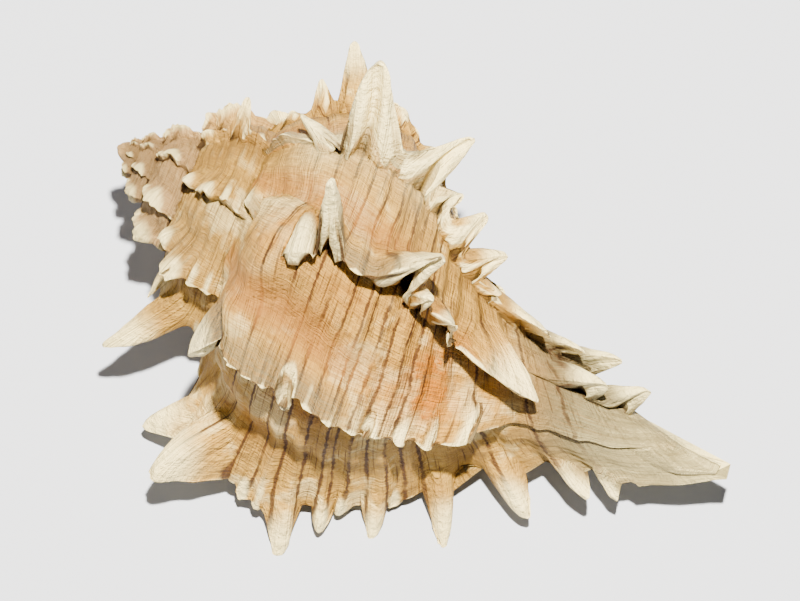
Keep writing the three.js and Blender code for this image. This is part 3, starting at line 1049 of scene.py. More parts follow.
    def drawn_edge(self, base: Array, outward: Array) -> tuple[Array, Array]:
        """How a frill whose edge the photograph shows moves the grid.

        Args:
            base: The rolled grid.
            outward: Direction out of the shell.

        Returns:
            How far each column follows the edge, and the shift.
        """
        rules = self.rules
        known = np.array([(e.cord, *PHOTO.point(e.x, e.y, e.height)) for e in self.stage.edge])
        parts = [np.interp(self.cords, known[:, 0], known[:, 1 + axis]) for axis in range(3)]
        first, last = known[0, 0], known[-1, 0]
        share = smoothstep(self.cords, first - rules.edge_blend, first)
        share *= 1 - smoothstep(self.cords, last, last + rules.edge_blend)
        row = self.crest_row
        ruffle = outward[row] * (self.waves(rules.edge_ruffle) * self.size)[:, None]
        pull = np.stack(parts, axis=1) - base[row] + ruffle
        flare = np.clip((self.rise - rules.flare_start) / (1 - rules.flare_start), 0.0, 1.0)
        front = (1 - self.fall) ** rules.edge_front_ease
        profile = np.where(self.in_front, front, flare**rules.flare_ease)
        lift = self.ridge_height() - self.trough()
        return share, profile[:, None, None] * pull[None, :, :] + outward * lift[..., None]

    def spine_shift(
        self, spine: Spine, number: int, base: Array, frill: Array, ways: tuple[Array, Array, Array]
    ) -> Array:
        """How one spine moves the grid.

        Args:
            spine: The spine.
            number: Its number in the stage.
            base: The rolled grid.
            frill: The frill's shift.
            ways: Directions of growth, towards the canal's end and out of the shell.

        Returns:
            The shift of each grid point.
        """
        rules = self.rules
        onward, canalward, outward = ways
        row = self.crest_row
        column = int(np.argmin(np.abs(self.cords - spine.cord)))
        if spine.outward is not None:
            reach = outward[row, column] * spine.outward + canalward[row, column] * spine.canalward
            vector = reach * self.size
        else:
            root = base[row, column] + frill[row, column]
            vector = PHOTO.point(spine.x, spine.y, spine.height) - root
        width = spine.width * self.size
        depth = max(rules.root_width * width, rules.root_least * self.size)
        across = (GROWTH.arc(self.cords) - GROWTH.arc(spine.cord)) * self.size / width
        front = self.in_front[:, None]
        behind = np.where(front, self.fall[:, None], np.linalg.norm(base - base[row], axis=2) / depth)
        radius = np.hypot(across[None, :], behind)
        rounded = np.hypot(radius, rules.tip_round) - rules.tip_round
        cone = np.clip(1 - rounded, 0.0, 1.0) ** rules.taper
        finger = np.minimum(cone, rules.tip_cut) / rules.tip_cut
        web = np.clip(1 - radius / rules.web_width, 0.0, 1.0) ** 2
        pull = finger + (web - finger) * rules.web_share
        shift = vector * pull[..., None]
        filled = np.where(front, finger[row][None, :], 0.0)
        shift += (frill[row] - frill) * filled[..., None]
        groove = (self.fall**2)[:, None] / np.maximum(radius, rules.groove_least)
        groove = groove * np.minimum(1.0, rules.groove_fade * pull)
        groove *= np.exp(-((across / rules.groove_width) ** 2))
        shift -= onward * (spine.groove * depth * groove)[..., None]
        place = radius * rules.wobble_rates[0] + across[None, :] * rules.wobble_rates[1]
        seed = rules.wobble_seed + rules.wobble_seed_step * self.index + number
        wobble = rules.wobble * ripple(place, seed) * pull * (1 - pull)
        shift += canalward * (wobble * np.linalg.norm(vector))[..., None]
        self.horn = np.maximum(self.horn, pull)
        return shift

    def solid(self) -> tuple[Array, list[Face]]:
        """Closes the sheet to a solid down to the axis.

        Returns:
            The points in the shell's frame and the faces, seen from outside.
        """
        rows, columns = self.points.shape[:2]
        middle = (self.start + self.stage.angle) / 2
        share = np.linspace(self.rules.axis_start, 1.0, columns)
        along = GROWTH.outline(self.last_cord)[0] * share * self.size
        axis = GROWTH.place(along, -self.rules.axis_overlap * self.size, middle)
        number = np.arange(rows * columns).reshape(rows, columns)
        spindle = rows * columns + np.arange(columns)
        ring = np.vstack([spindle, number, spindle]).tolist()
        faces: list[Face] = []
        for near, far in zip(ring[:-1], ring[1:]):
            faces += zip(near[:-1], far[:-1], far[1:], near[1:])
        for near, far in zip(ring[1:-2], ring[2:-1]):
            faces += [(ring[0][0], far[0], near[0]), (ring[0][-1], near[-1], far[-1])]
        return np.vstack([self.points.reshape(-1, 3), axis]), faces


def swept_solid(rings: Array) -> tuple[Array, list[Face]]:
    """Solid through a row of closed rings, with flat ends.

    Args:
        rings: The rings, each with the same number of points.

    Returns:
        The points and the faces.
    """
    count, around = rings.shape[:2]
    number = np.arange(count * around).reshape(count, around).tolist()
    faces: list[Face] = []
    for near, far in zip(number[:-1], number[1:]):
        faces += zip(near, near[1:] + near[:1], far[1:] + far[:1], far)
    faces += [tuple(number[0][::-1]), tuple(number[-1])]
    return rings.reshape(-1, 3), faces


@dataclass(frozen=True)
class Cavity:
    """A hollow in the mouth: a closed section, turned back from the lip and shrunk with the spiral."""

    section: tuple[Row, ...]
    first: float
    last: float
    steps: int
    around: int
    narrowing: float = 0.0

    def rings(self) -> Array:
        """The hollow's sections.

        Returns:
            The rings in the shell's frame.
        """
        corners = np.array(self.section)
        padded = np.vstack([corners[-1:], corners, corners[:2]])
        position = 1 + np.arange(self.around) / self.around * len(corners)
        outline = catmull(padded, position)
        rings = []
        for share in np.linspace(0.0, 1.0, self.steps):
            angle = math.radians(self.first + (self.last - self.first) * share)
            along, radius = (outline * GROWTH.size(angle)).T
            rings.append(GROWTH.place(along, radius * (1 - self.narrowing * share), angle))
        return np.array(rings)


MOUTH = Cavity(
    section=(
        (38.0, 25.5), (43.0, 31.0), (50.0, 33.2), (58.0, 32.6), (66.0, 29.0), (74.0, 23.0), (81.0, 16.0),
        (88.0, 10.0), (93.0, 7.5), (90.0, 4.5), (78.0, 5.0), (68.0, 5.8), (59.0, 8.0), (51.0, 12.5),
        (44.0, 18.5),
    ),
    first=128.0,
    last=-60.0,
    steps=50,
    around=72,
    narrowing=0.14,
)
SLIT = Cavity(
    section=(
        (88.0, 7.5), (100.0, 5.6), (111.0, 4.0), (119.0, 2.6), (117.0, 1.0), (100.0, 2.0), (88.0, 3.5),
    ),
    first=128.0,
    last=35.0,
    steps=26,
    around=48,
)


@dataclass(frozen=True)
class Core:
    """The solid pillar round the axis that the whorls grow on, down to the end of the canal.

    Each station gives distance along the axis, radius and swing towards the lip.
    """

    stations: tuple[Row, ...] = (
        (0.5, 0.3, 0.0), (5.0, 2.6, 0.0), (30.0, 7.0, 0.0), (50.0, 8.0, 0.0), (70.0, 6.5, 0.0),
        (90.0, 6.0, 1.0), (105.0, 4.2, 2.4), (115.0, 2.8, 2.6), (123.0, 1.2, 0.6),
    )
    steps: int = 60
    around: int = 28

    def rings(self) -> Array:
        """The pillar's sections.

        Returns:
            The rings in the shell's frame.
        """
        table = np.array(self.stations)
        rows = catmull(table, np.linspace(0.0, len(table) - 1, self.steps))
        angle = np.linspace(0.0, 2 * math.pi, self.around, endpoint=False)
        rings = []
        for along, radius, swing in rows:
            ring = GROWTH.place(along, radius, angle)
            ring[:, 1] -= swing
            rings.append(ring)
        return np.array(rings)


class Cut(Enum):
    """What a Boolean does with its second solid."""

    ADD = "UNION"
    TAKE_AWAY = "DIFFERENCE"


@dataclass
class Marks:
    """Numbers known at points of the sheets, carried over to the finished mesh."""

    names: tuple[str, ...] = ("cord", "turn", "rise", "horn", "size", "open_face", "inner")
    places: list[Array] = field(default_factory=list)
    values: list[Array] = field(default_factory=list)

    def add(self, places: Array, values: dict[str, Array | float]) -> None:
        """Adds points.

        Args:
            places: The points in the part's frame.
            values: The numbers by name, as one number or one for each point.
        """
        columns = [np.broadcast_to(np.asarray(values[name], float), len(places)) for name in self.names]
        self.places.append(places)
        self.values.append(np.stack(columns, axis=1))

    def carry(self, mesh: Mesh) -> None:
        """Stores the numbers of the nearest known point at each point of a mesh.

        Args:
            mesh: The mesh.
        """
        places = np.vstack(self.places)
        values = np.vstack(self.values)
        known = KDTree(len(places))
        for number, place in enumerate(places):
            known.insert(place, number)
        known.balance()
        nearest = np.array([known.find(point)[1] for point in read_points(mesh)])
        for column, name in enumerate(self.names):
            write_numbers(mesh, name, values[nearest, column])


@dataclass
class ShellForm:
    """The shell as one closed mesh.

    The lining ends at a distance along the axis, so that the canal's slit keeps the outside's colour.
    """

    rules: SheetRules = field(default_factory=SheetRules)
    stage_rules: StageRules = field(default_factory=StageRules)
    marks: Marks = field(default_factory=Marks)
    sheets: list[StageSheet] = field(default_factory=list)
    lining_end: float = 98.0
    slit_cord: float = GROWTH.last_cord - 1
    open_front: float = 0.3
    ground_half: float = 0.1
    ground_depth: float = 0.05

    def build(self, material: Material) -> Object:
        """Builds the mesh object.

        Args:
            material: Material for the geometry trees.

        Returns:
            The object, at the origin of the part's frame.
        """
        self.roll_sheets(material)
        whole = self.solid_object("murex_shell", *swept_solid(Core().rings()))
        for sheet in reversed(self.sheets):
            self.mark_sheet(sheet)
            self.combine(whole, self.solid_object("stage", *sheet.solid()), Cut.ADD)
        for cavity in (MOUTH, SLIT):
            rings = cavity.rings()
            self.mark_cavity(rings)
            self.combine(whole, self.solid_object("cavity", *swept_solid(rings)), Cut.TAKE_AWAY)
        self.combine(whole, self.ground(), Cut.TAKE_AWAY)
        self.marks.carry(whole.data)
        return whole

    def roll_sheets(self, material: Material) -> None:
        """Sets out all stage sheets, rolls them up together and raises their frills and spines.

        Args:
            material: Material for the wrap.
        """
        stages = self.stage_rules.stages()
        for index, stage in enumerate(stages[:-1]):
            last = GROWTH.last_cord if index < self.stage_rules.whorl else self.stage_rules.spire_cord
            start = stages[index + 1].angle - self.rules.overlap
            self.sheets.append(StageSheet(index, stage, start, self.rules, last))
        flats = [sheet.flat() for sheet in self.sheets]
        joined = {name: np.concatenate([flat[name].ravel() for flat in flats]) for name in flats[0]}
        plan = np.stack([joined["along"], joined["turn"], joined["radius"]], axis=1)
        flat_object = new_object("sheets", new_mesh("sheets", plan, []))
        for name, values in joined.items():
            write_numbers(flat_object.data, name, values)
        mesh = SpiralWrap().run(flat_object, material)
        rolled = read_points(mesh)
        bpy.data.meshes.remove(mesh)
        bpy.data.objects.remove(flat_object)
        first = 0
        for sheet in self.sheets:
            shape = (len(sheet.turn), len(sheet.cords))
            count = shape[0] * shape[1]
            sheet.shape(rolled[first : first + count].reshape(*shape, 3))
            first += count

    def solid_object(self, name: str, points: Array, faces: list[Face]) -> Object:
        """Makes a mesh object in the part's frame from points in the shell's frame."""
        return new_object(name, new_mesh(name, LIE.to_part(points), faces))

    def ground(self) -> Object:
        """The block below the ground that the resting spines are worn flat against.

        Returns:
            The block.
        """
        half = self.ground_half
        ring = np.array([(-half, -half), (half, -half), (half, half), (-half, half)])
        levels = (-self.ground_depth, 0.0)
        rings = np.array([np.column_stack([ring, np.full(len(ring), level)]) for level in levels])
        return new_object("ground", new_mesh("ground", *swept_solid(rings)))

    def combine(self, whole: Object, other: Object, cut: Cut) -> None:
        """Adds a solid to the shell or takes it away, and drops the solid.

        Args:
            whole: The shell, which is changed.
            other: The other solid.
            cut: What is done with it.
        """
        modifier = whole.modifiers.new("combine", "BOOLEAN")
        modifier.operation = cut.value
        modifier.solver = "MANIFOLD"
        modifier.object = other
        mesh = applied(whole)
        whole.modifiers.remove(modifier)
        swap_mesh(whole, mesh)
        bpy.data.meshes.remove(other.data)

    def mark_sheet(self, sheet: StageSheet) -> None:
        """Notes a sheet's numbers.

        Args:
            sheet: The sheet.
        """
        turn, cord = np.meshgrid(sheet.turn, sheet.cords, indexing="ij")
        rise = np.broadcast_to(sheet.rise[:, None], turn.shape)
        fall = np.broadcast_to(sheet.fall[:, None], turn.shape)
        self.marks.add(
            LIE.to_part(sheet.points.reshape(-1, 3)),
            {
                "cord": cord.ravel(),
                "turn": turn.ravel(),
                "rise": rise.ravel(),
                "horn": sheet.horn.ravel(),
                "size": sheet.size,
                "open_face": (1 - smoothstep(fall, 0.0, self.open_front)).ravel(),
                "inner": Zone.OUTSIDE.value,
            },
        )

    def mark_cavity(self, rings: Array) -> None:
        """Notes the numbers of the mouth's lining.

        Args:
            rings: The cavity's rings in the shell's frame.
        """
        points = rings.reshape(-1, 3)
        values = {name: 0.0 for name in self.marks.names}
        values["size"] = 1.0
        values["cord"] = self.slit_cord
        values["inner"] = np.where(points[:, 0] < self.lining_end, Zone.MOUTH.value, Zone.OUTSIDE.value)
        self.marks.add(LIE.to_part(points), values)


# Colour


class Tone(Enum):
    """Kind of coloured patch on the shell, as the name of its attribute."""

    STAIN = "stain"
    PALE = "pale"
    GREY = "grey"


@dataclass(frozen=True)
class Patch:
    """A soft-edged patch of another colour, placed by a pixel of the photograph and a height."""

    x: float
    y: float
    height: float
    radius: float
    strength: float

    def cover(self, points: Array) -> Array:
        """How strongly the patch colours points in the part's frame.

        Args:
            points: The points.

        Returns:
            The strength at each.
        """
        centre = LIE.to_part(PHOTO.point(self.x, self.y, self.height)[None, :])[0]
        gap = np.linalg.norm(points - centre, axis=1) / (self.radius * MM)
        return self.strength * np.exp(-(gap**2))


PATCHES: dict[Tone, tuple[Row, ...]] = {
    Tone.STAIN: (
        (438, 370, 21.0, 5.0, 1.8), (437, 400, 19.0, 5.5, 2.0), (405, 395, 22.0, 8.0, 0.8),
        (500, 385, 16.0, 8.0, 0.6), (455, 345, 22.0, 5.0, 0.8), (300, 385, 20.0, 8.0, 0.7),
        (285, 238, 30.0, 6.0, 0.6), (345, 300, 34.0, 7.0, 0.5), (430, 330, 30.0, 8.0, 0.55),
        (250, 400, 10.0, 7.0, 0.6),
    ),
    Tone.PALE: (
        (712, 474, 3.0, 9.0, 0.8), (640, 455, 4.0, 12.0, 0.4), (548, 330, 18.0, 6.0, 0.7),
        (390, 110, 26.0, 9.0, 0.9), (440, 165, 20.0, 7.0, 0.7), (335, 145, 18.0, 6.0, 0.7),
    ),
    Tone.GREY: ((255, 285, 24.0, 9.0, 0.9), (180, 230, 14.0, 10.0, 0.7), (140, 180, 6.0, 9.0, 0.6)),
}


@dataclass(frozen=True)
class Shelter:
    """Finds how much of the view from each point is closed off by the shell nearby, for painted shade in
    hollows.
    """

    rays: int = 14
    reach: float = 9 * MM
    lift: float = 0.1 * MM
    spread: float = 0.9
    steep: float = 0.8

    def fan(self) -> Array:
        """Directions evenly spread round an upright normal.

        Returns:
            The directions, one in each row.
        """
        number = np.arange(self.rays) + 0.5
        height = 1 - number / self.rays * self.spread
        around = number * math.pi * (3 - math.sqrt(5))
        flat = np.sqrt(1 - height**2)
        return np.stack([flat * np.cos(around), flat * np.sin(around), height], axis=1)

    def closed(self, mesh: Mesh, points: Array) -> Array:
        """The closed share of the view.

        Args:
            mesh: The mesh.
            points: Its points.

        Returns:
            The share at each point, from 0 in the open to 1 in a deep crack.
        """
        tree = BVHTree.FromPolygons(points.tolist(), [tuple(face.vertices) for face in mesh.polygons])
        normals = point_normals(mesh)
        level = np.abs(normals[:, 2:]) < self.steep
        side = unit(np.cross(normals, np.where(level, [[0.0, 0.0, 1.0]], [[1.0, 0.0, 0.0]])))
        other = np.cross(normals, side)
        starts = (points + normals * self.lift).tolist()
        total = np.zeros(len(points))
        for across, up, out in self.fan():
            ways = (side * across + other * up + normals * out).tolist()
            gaps = (tree.ray_cast(start, way, self.reach)[3] for start, way in zip(starts, ways))
            total += [0.0 if gap is None else 1.0 - gap / self.reach for gap in gaps]
        return total / self.rays


def edge_depth(mesh: Mesh, points: Array, rounds: int = 4) -> Array:
    """How far each point lies below the smoothed surface.

    Args:
        mesh: The mesh.
        points: Its points.
        rounds: How often the surface is smoothed.

    Returns:
        The depth in millimetres, below 0 on ridges.
    """
    flat = np.empty(len(mesh.edges) * 2, np.int32)
    mesh.edges.foreach_get("vertices", flat)
    first, second = flat.reshape(-1, 2).T
    count = np.bincount(flat, minlength=len(points))[:, None]
    smooth = points.copy()
    for _ in range(rounds):
        total = np.zeros_like(smooth)
        for axis in range(3):
            total[:, axis] += np.bincount(first, smooth[second, axis], len(points))
            total[:, axis] += np.bincount(second, smooth[first, axis], len(points))
        smooth = total / np.maximum(count, 1)
    return np.einsum("ij,ij->i", smooth - points, point_normals(mesh)) / MM


def write_tints(mesh: Mesh) -> None:
    """Stores the coloured patches, the closed share of the view that darkens hollows as painted shade and
    dirt, and the worn edges on the mesh.

    Args:
        mesh: The shell's mesh in the part's frame.
    """
    points = read_points(mesh)
    for tone, rows in PATCHES.items():
        write_numbers(mesh, tone.value, np.max([Patch(*row).cover(points) for row in rows], axis=0))
    # The closed share of the view darkens the colour in hollows and creases: painted shade, with dirt.
    write_numbers(mesh, "hollow", Shelter().closed(mesh, points))
    write_numbers(mesh, "edge", edge_depth(mesh, points))


@dataclass(frozen=True)
class ShellFinish:
    """Colours of the outside, as linear RGB, how they lie on it, and how it shines.

    Ramps named for a turn, cord, rise or horn are read at that number of the mesh.
    """

    cream: Colour = (0.58, 0.345, 0.07)
    tan: Colour = (0.21, 0.105, 0.022)
    orange: Colour = (0.42, 0.135, 0.002)
    pale: Colour = (0.93, 0.80, 0.42)
    grey: Colour = (0.15, 0.118, 0.066)
    spire: Colour = (0.56, 0.36, 0.18)
    # Orange-brown for the trough behind a fresh frill: its own tint, darkened as painted shade of the
    # trough's down-facing side.
    valley_tint_and_shade: Colour = (0.28, 0.115, 0.022)
    canal: Colour = (0.15, 0.142, 0.088)
    # Dark brown for sheltered hollows: painted shade where the shell closes off the light, with dirt.
    dirt_and_shade: Colour = (0.045, 0.02, 0.008)
    line: Colour = (0.05, 0.017, 0.007)
    roughness: float = 0.6
    specular: float = 0.12
    tan_share: float = 0.7
    pale_clouds: Ramp = Ramp(0.35, 0.0, 0.0, 0.5)
    spire_turn: Ramp = Ramp(-6.5, -9.5, 0.0, 0.75)
    canal_cord: Ramp = Ramp(8.8, 10.6, 0.0, 0.9)
    grey_mottle: tuple[float, float] = (0.5, 0.5)
    stain_mottle: tuple[float, float] = (0.6, 0.5)
    pale_lines: tuple[float, float] = (0.35, 0.6)
    growth_lines: Ramp = Ramp(0.4, 0.58)
    streak_horn: Ramp = Ramp(0.1, 0.5, 0.55, 0.15)
    threads: Ramp = Ramp(0.44, 0.34)
    thread_horn: Ramp = Ramp(0.1, 0.5, 0.7, 0.15)
    specks: Ramp = Ramp(0.75, 1.0, 0.0, 0.35)
    line_width: float = 0.045
    line_turn: Ramp = Ramp(-4.5, -3.0, 0.25, 0.9)
    fresh_turn: tuple[Ramp, Ramp] = (Ramp(-1.6, -1.2), Ramp(0.95, 0.75))
    fresh_cord: Ramp = Ramp(7.0, 5.2)
    # Where along growth and how strongly the trough's tint and painted shade lie.
    valley_tint_and_shade_rise: tuple[Ramp, Ramp] = (Ramp(0.5, 0.7), Ramp(0.9, 0.76))
    valley_tint_and_shade_share: float = 0.75
    rim_rise: Ramp = Ramp(0.82, 0.95)
    rim_lines: Ramp = Ramp(0.0, 1.0, 0.5, 0.85)
    tip_horn: Ramp = Ramp(0.3, 0.8, 0.0, 0.8)
    worn_rise: Ramp = Ramp(0.8, 0.96)
    worn_edge: Ramp = Ramp(-0.12, -0.4)
    worn_share: Ramp = Ramp(0.0, 1.0, 0.15, 0.75)
    # Mottle and strength of the painted shade and dirt in the hollows.
    dirt_and_shade_mottle: float = 0.12
    dirt_and_shade_hollow: Ramp = Ramp(0.42, 0.95, 0.0, 0.85)
    bump_horn: Ramp = Ramp(0.12, 0.6, 0.4, 0.1)
    bump_threads: float = 0.7
    bump_mottle: float = 0.35
    bump_strength: float = 1.0
    bump: float = 1.2 * MM


@dataclass(frozen=True)
class MouthFinish:
    """Colours of the mouth's lining, as linear RGB, and how it shines."""

    rim: Colour = (0.78, 0.66, 0.52)
    deep: Colour = (0.66, 0.42, 0.30)
    roughness: float = 0.28
    specular: float = 0.5
    bump_strength: float = 0.2
    bump: float = 0.4 * MM


@dataclass(frozen=True)
class Pattern:
    """Sizes of the patterns in the shared node groups."""

    broad: tuple[float, float, float] = (75.0, 4.0, 0.6)
    broad_ramp: Ramp = Ramp(0.35, 0.68)
    fine: tuple[float, float, float] = (420.0, 4.0, 0.65)
    fine_ramp: Ramp = Ramp(0.3, 0.72)
    lines: Grain = Grain(130.0, 0.7, 0.0, 2.0, 0.7)
    threads: Grain = Grain(2.0, 18.0, 5.0, 3.0, 0.6)
    sway: Grain = Grain(4.0, 0.8, 1.0, 2.0)
    sway_share: float = 0.16
    uneven: Grain = Grain(30.0, 6.0, 2.0)
    uneven_ramp: Ramp = Ramp(0.25, 0.75, 0.4, 1.7)
    broken: Grain = Grain(5.0, 2.1, 7.0)
    broken_ramp: Ramp = Ramp(0.32, 0.5, 0.3, 1.0)
    line_edge: Ramp = Ramp(1.2, 0.35)
    far: float = 9.0
    line_cords: Row = (2.9, 3.6, 4.15, 4.6, 5.1, 5.55, 5.78, 6.1, 6.45, 6.8, 7.15, 7.5, 8.7, 9.7, 10.4)


class ShellPaint:
    """Makes the two materials and the node groups that they share."""

    def __init__(self) -> None:
        """Builds the shared groups."""
        pattern = Pattern()
        self.mottle = self._mottle_group(pattern)
        self.growth_lines = self._growth_line_group(pattern)
        self.spiral_lines = self._spiral_line_group(pattern)

    def _group(self, name: str, inputs: Sequence[str], outputs: Sequence[str]) -> tuple[Tree, list]:
        """Starts a node group with number sockets.

        Args:
            name: The group's name.
            inputs: Names of its inputs.
            outputs: Names of its outputs.

        Returns:
            The tree helper and the input sockets.
        """
        group = bpy.data.node_groups.new(name, "ShaderNodeTree")
        for entry in inputs:
            add_socket(group, entry, "NodeSocketFloat")
        for entry in outputs:
            add_socket(group, entry, "NodeSocketFloat", "OUTPUT")
        tree = Tree(group)
        given = tree.node("NodeGroupInput").outputs
        return tree, [given[entry] for entry in inputs]

    def _mottle_group(self, pattern: Pattern) -> NodeTree:
        """Cloudy mottling at two scales in object space.

        Args:
            pattern: The sizes.

        Returns:
            The group.
        """
        t, _ = self._group("shell_mottle", (), ("Broad", "Fine"))
        place = t.node("ShaderNodeTexCoord").outputs["Object"]
        broad = t.span(t.noise(place, *pattern.broad), pattern.broad_ramp)
        fine = t.span(t.noise(place, *pattern.fine), pattern.fine_ramp)
        t.node("NodeGroupOutput", None, {"Broad": broad, "Fine": fine})
        return t.tree

    def _growth_line_group(self, pattern: Pattern) -> NodeTree:
        """Fine lines across the growth and fine threads along it.

        Args:
            pattern: The sizes.

        Returns:
            The group.
        """
        t, place = self._group("shell_growth_lines", ("Turn", "Cord"), ("Lines", "Threads"))
        lines, threads = (t.grain(*place, grain) for grain in (pattern.lines, pattern.threads))
        t.node("NodeGroupOutput", None, {"Lines": lines, "Threads": threads})
        return t.tree

    def _spiral_line_group(self, pattern: Pattern) -> NodeTree:
        """Thin interrupted lines on the cords.

        Args:
            pattern: The sizes, and the cords that have a line.

        Returns:
            The group.
        """
        t, (turn, cord, width) = self._group("shell_spiral_lines", ("Turn", "Cord", "Width"), ("Mask",))
        swayed = t.swayed(turn, cord, pattern.sway, pattern.sway_share)
        gap: object = pattern.far
        for place in pattern.line_cords:
            gap = t.math("MINIMUM", gap, t.math("ABSOLUTE", t.minus(swayed, place)))
        uneven = t.span(t.grain(turn, cord, pattern.uneven), pattern.uneven_ramp)
        line = t.span(t.math("DIVIDE", gap, t.times(width, uneven)), pattern.line_edge)
        broken = t.span(t.grain(turn, cord, pattern.broken), pattern.broken_ramp)
        t.node("NodeGroupOutput", None, {"Mask": t.times(line, broken)})
        return t.tree

    def _finish(
        self, name: str, finish: ShellFinish | MouthFinish
    ) -> tuple[Material, Tree, Node]:
        """Starts a material.

        Args:
            name: Its name.
            finish: How it shines.

        Returns:
            The material, its tree helper and its Principled BSDF.
        """
        material = bpy.data.materials.new(name)
        material.use_nodes = True
        surface = material.node_tree.nodes["Principled BSDF"]
        surface.inputs["Roughness"].default_value = finish.roughness
        surface.inputs["Specular IOR Level"].default_value = finish.specular
        return material, Tree(material.node_tree), surface

    def _bump(self, t: Tree, finish: ShellFinish | MouthFinish, height: object) -> NodeSocket:
        """Normal of a bumpy surface of a height."""
        inputs = {"Strength": finish.bump_strength, "Distance": finish.bump, "Height": height}
        return t.node("ShaderNodeBump", None, inputs).outputs[0]

    def outside(self, finish: ShellFinish) -> Material:
        """The material of the outside: layers of colour, each over the ones before.

        Args:
            finish: Its colours.

        Returns:
            The material.
        """
        material, t, surface = self._finish("shell_outside", finish)
        cord, turn, rise, horn = (t.mark(name) for name in ("cord", "turn", "rise", "horn"))
        place = {"Turn": turn, "Cord": cord}
        mottle = t.node("ShaderNodeGroup", {"node_tree": self.mottle}).outputs
        growth = t.node("ShaderNodeGroup", {"node_tree": self.growth_lines}, place).outputs
        widths = {**place, "Width": finish.line_width}
        spiral = t.node("ShaderNodeGroup", {"node_tree": self.spiral_lines}, widths).outputs
        broad, fine = mottle["Broad"], mottle["Fine"]
        lines = t.span(growth["Lines"], finish.growth_lines)
        fresh = t.times(t.spans(turn, finish.fresh_turn), t.span(cord, finish.fresh_cord))
        near_rim = t.math("MAXIMUM", t.span(rise, finish.worn_rise), horn)
        threads = t.span(growth["Threads"], finish.threads)
        edges = t.span(t.mark("edge"), finish.worn_edge)
        hollow = t.plus(t.mark("hollow"), t.times(fine, finish.dirt_and_shade_mottle))
        uneven = "MULTIPLY_ADD"
        layers = (
            (t.times(broad, finish.tan_share), finish.tan),
            (t.span(broad, finish.pale_clouds), finish.pale),
            (t.span(turn, finish.spire_turn), finish.spire),
            (t.span(cord, finish.canal_cord), finish.canal),
            (t.times(t.mark(Tone.GREY.value), t.math(uneven, fine, *finish.grey_mottle)), finish.grey),
            (t.times(t.mark(Tone.STAIN.value), t.math(uneven, fine, *finish.stain_mottle)), finish.orange),
            (t.times(t.minus(1.0, lines), t.span(horn, finish.streak_horn)), finish.tan),
            (t.times(threads, t.span(horn, finish.thread_horn)), finish.line),
            (t.span(fine, finish.specks), finish.line),
            (t.times(spiral["Mask"], t.span(turn, finish.line_turn)), finish.line),
            # Trough behind the fresh frills: orange-brown tint with painted shade on the side that faces
            # away from the light.
            (t.times(t.spans(rise, finish.valley_tint_and_shade_rise), fresh, finish.valley_tint_and_shade_share), finish.valley_tint_and_shade),
            (t.times(t.span(rise, finish.rim_rise), fresh, t.span(lines, finish.rim_lines)), finish.grey),
            (t.span(horn, finish.tip_horn), finish.pale),
            (t.times(t.mark(Tone.PALE.value), t.math(uneven, lines, *finish.pale_lines)), finish.pale),
            (t.times(edges, t.span(near_rim, finish.worn_share)), finish.pale),
            # Painted shade, with dirt, darkens each point by how much of the view the shell closes off
            # there.
            (t.span(hollow, finish.dirt_and_shade_hollow), finish.dirt_and_shade),
        )
        colour: object = finish.cream
        for share, tint in layers:
            colour = t.blend(share, colour, tint)
        t.put(colour, surface.inputs["Base Color"])
        height = t.times(growth["Lines"], t.span(horn, finish.bump_horn))
        height = t.plus(height, t.times(growth["Threads"], finish.bump_threads))
        height = t.plus(height, t.times(fine, finish.bump_mottle))
        t.put(self._bump(t, finish, height), surface.inputs["Normal"])
        return material

    def mouth(self, finish: MouthFinish) -> Material:
        """The material of the mouth's lining.

        Args:
            finish: Its colours.

        Returns:
            The material.
        """
        material, t, surface = self._finish("shell_mouth", finish)
        mottle = t.node("ShaderNodeGroup", {"node_tree": self.mottle}).outputs
        t.put(t.blend(mottle["Broad"], finish.rim, finish.deep), surface.inputs["Base Color"])
        t.put(self._bump(t, finish, mottle["Fine"]), surface.inputs["Normal"])
        return material


# The finished piece and the studio


@dataclass
class MurexShell:
    """The shell with its relief and colours."""

    sharp_edge: float = math.radians(50)
    lined: float = 0.5

    def build(self) -> Object:
        """Builds the finished shell.

        Returns:
            The object, at the origin of the part's frame.
        """
        paint = ShellPaint()
        outside = paint.outside(ShellFinish())
        mouth = paint.mouth(MouthFinish())
        shell = ShellForm().build(outside)
        mesh = Relief().run(shell, outside)
        swap_mesh(shell, mesh)
        mesh.name = "murex_shell"
        self.settle(mesh)
        mesh.materials.clear()
        mesh.materials.append(outside)
        mesh.materials.append(mouth)
        write_tints(mesh)
        self.line_mouth(mesh)
        mesh.set_sharp_from_angle(angle=self.sharp_edge)
        return shell

    def settle(self, mesh: Mesh) -> None:
        """Keeps the relief from reaching below the ground.

        Args:
            mesh: The shell's mesh.
        """
        points = read_points(mesh)
        points[:, 2] = np.maximum(points[:, 2], 0.0)
        mesh.vertices.foreach_set("co", points.astype(np.float32).ravel())
        mesh.update()

    def line_mouth(self, mesh: Mesh) -> None:
        """Gives the faces inside the mouth its material.

        Args:
            mesh: The shell's mesh.
        """
        inner = np.empty(len(mesh.vertices), np.float32)
        mesh.attributes["inner"].data.foreach_get("value", inner)
        for face in mesh.polygons:
            face.use_smooth = True
            face.material_index = int(min(inner[number] for number in face.vertices) > self.lined)


@dataclass(frozen=True)
class Lamp:
    """A square soft light, aimed at the shell."""

    name: str
    place: tuple[float, float, float]
    side: float
    watts: float
    colour: Colour


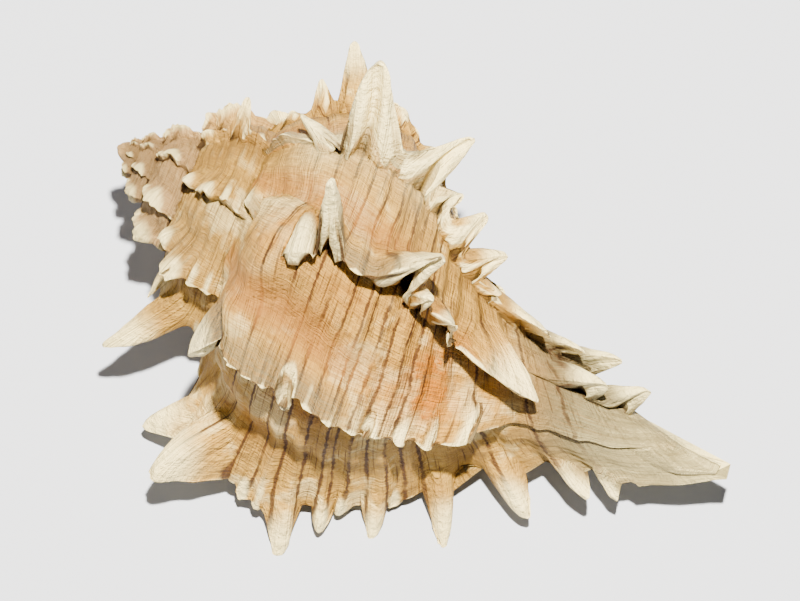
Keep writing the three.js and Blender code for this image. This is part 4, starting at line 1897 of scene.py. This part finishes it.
@dataclass(frozen=True)
class Studio:
    """Floor, lights and camera."""

    floor_side: float = 6.0
    floor_colour: Colour = (0.43, 0.465, 0.595)
    floor_roughness: float = 0.8
    elevation: float = math.radians(73)
    distance: float = 1.2
    target: tuple[float, float, float] = (-0.00305, -0.00063, 0.02002)
    sensor: float = 36.0
    lens: float = 300.0
    sky: Colour = (1.0, 0.94, 0.82)
    sky_strength: float = 0.13
    lamps: tuple[Lamp, ...] = (
        Lamp("key", (0.05, 0.0, 1.15), 0.04, 94.0, (1.0, 0.92, 0.72)),
        Lamp("fill", (-0.7, -0.2, 0.6), 0.7, 2.5, (1.0, 0.94, 0.80)),
    )

    def build(self) -> None:
        """Adds the floor, the lights and the camera."""
        self.floor()
        for lamp in self.lamps:
            self.light(lamp)
        self.world()
        self.camera()

    def floor(self) -> Object:
        """The pale floor.

        Returns:
            The floor's object.
        """
        half = self.floor_side / 2
        corners = np.array([(-half, -half, 0.0), (half, -half, 0.0), (half, half, 0.0), (-half, half, 0.0)])
        floor = new_object("floor", new_mesh("floor", corners, [(0, 1, 2, 3)]))
        material = bpy.data.materials.new("floor")
        material.use_nodes = True
        surface = material.node_tree.nodes["Principled BSDF"]
        surface.inputs["Base Color"].default_value = (*self.floor_colour, 1.0)
        surface.inputs["Roughness"].default_value = self.floor_roughness
        floor.data.materials.append(material)
        return floor

    def light(self, lamp: Lamp) -> None:
        """Adds a lamp.

        Args:
            lamp: The lamp.
        """
        data = bpy.data.lights.new(lamp.name, "AREA")
        data.size = lamp.side
        data.energy = lamp.watts
        data.color = lamp.colour
        light = new_object(lamp.name, data)
        light.location = lamp.place
        aim = Vector(self.target) - Vector(lamp.place)
        light.rotation_euler = aim.to_track_quat("-Z", "Y").to_euler()

    def world(self) -> None:
        """Sets the even light from all sides."""
        world = bpy.data.worlds.new("studio")
        world.use_nodes = True
        back = world.node_tree.nodes["Background"]
        back.inputs["Color"].default_value = (*self.sky, 1.0)
        back.inputs["Strength"].default_value = self.sky_strength
        bpy.context.scene.world = world

    def camera(self) -> None:
        """Adds the camera at the photograph's angle."""
        data = bpy.data.cameras.new("camera")
        data.sensor_width = self.sensor
        data.lens = self.lens
        camera = new_object("camera", data)
        back = Vector((0.0, -math.cos(self.elevation), math.sin(self.elevation)))
        camera.location = Vector(self.target) + back * self.distance
        camera.rotation_euler = (math.pi / 2 - self.elevation, 0.0, 0.0)
        bpy.context.scene.camera = camera


def main() -> None:
    """Builds the shell and its studio."""
    logging.basicConfig(level=logging.INFO, format="%(name)s: %(message)s")
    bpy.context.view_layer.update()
    shell = MurexShell().build()
    log.info("shell: %d points", len(shell.data.vertices))
    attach(shell, "root")
    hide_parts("shell")
    Studio().build()


if __name__ == "__main__":
    main()
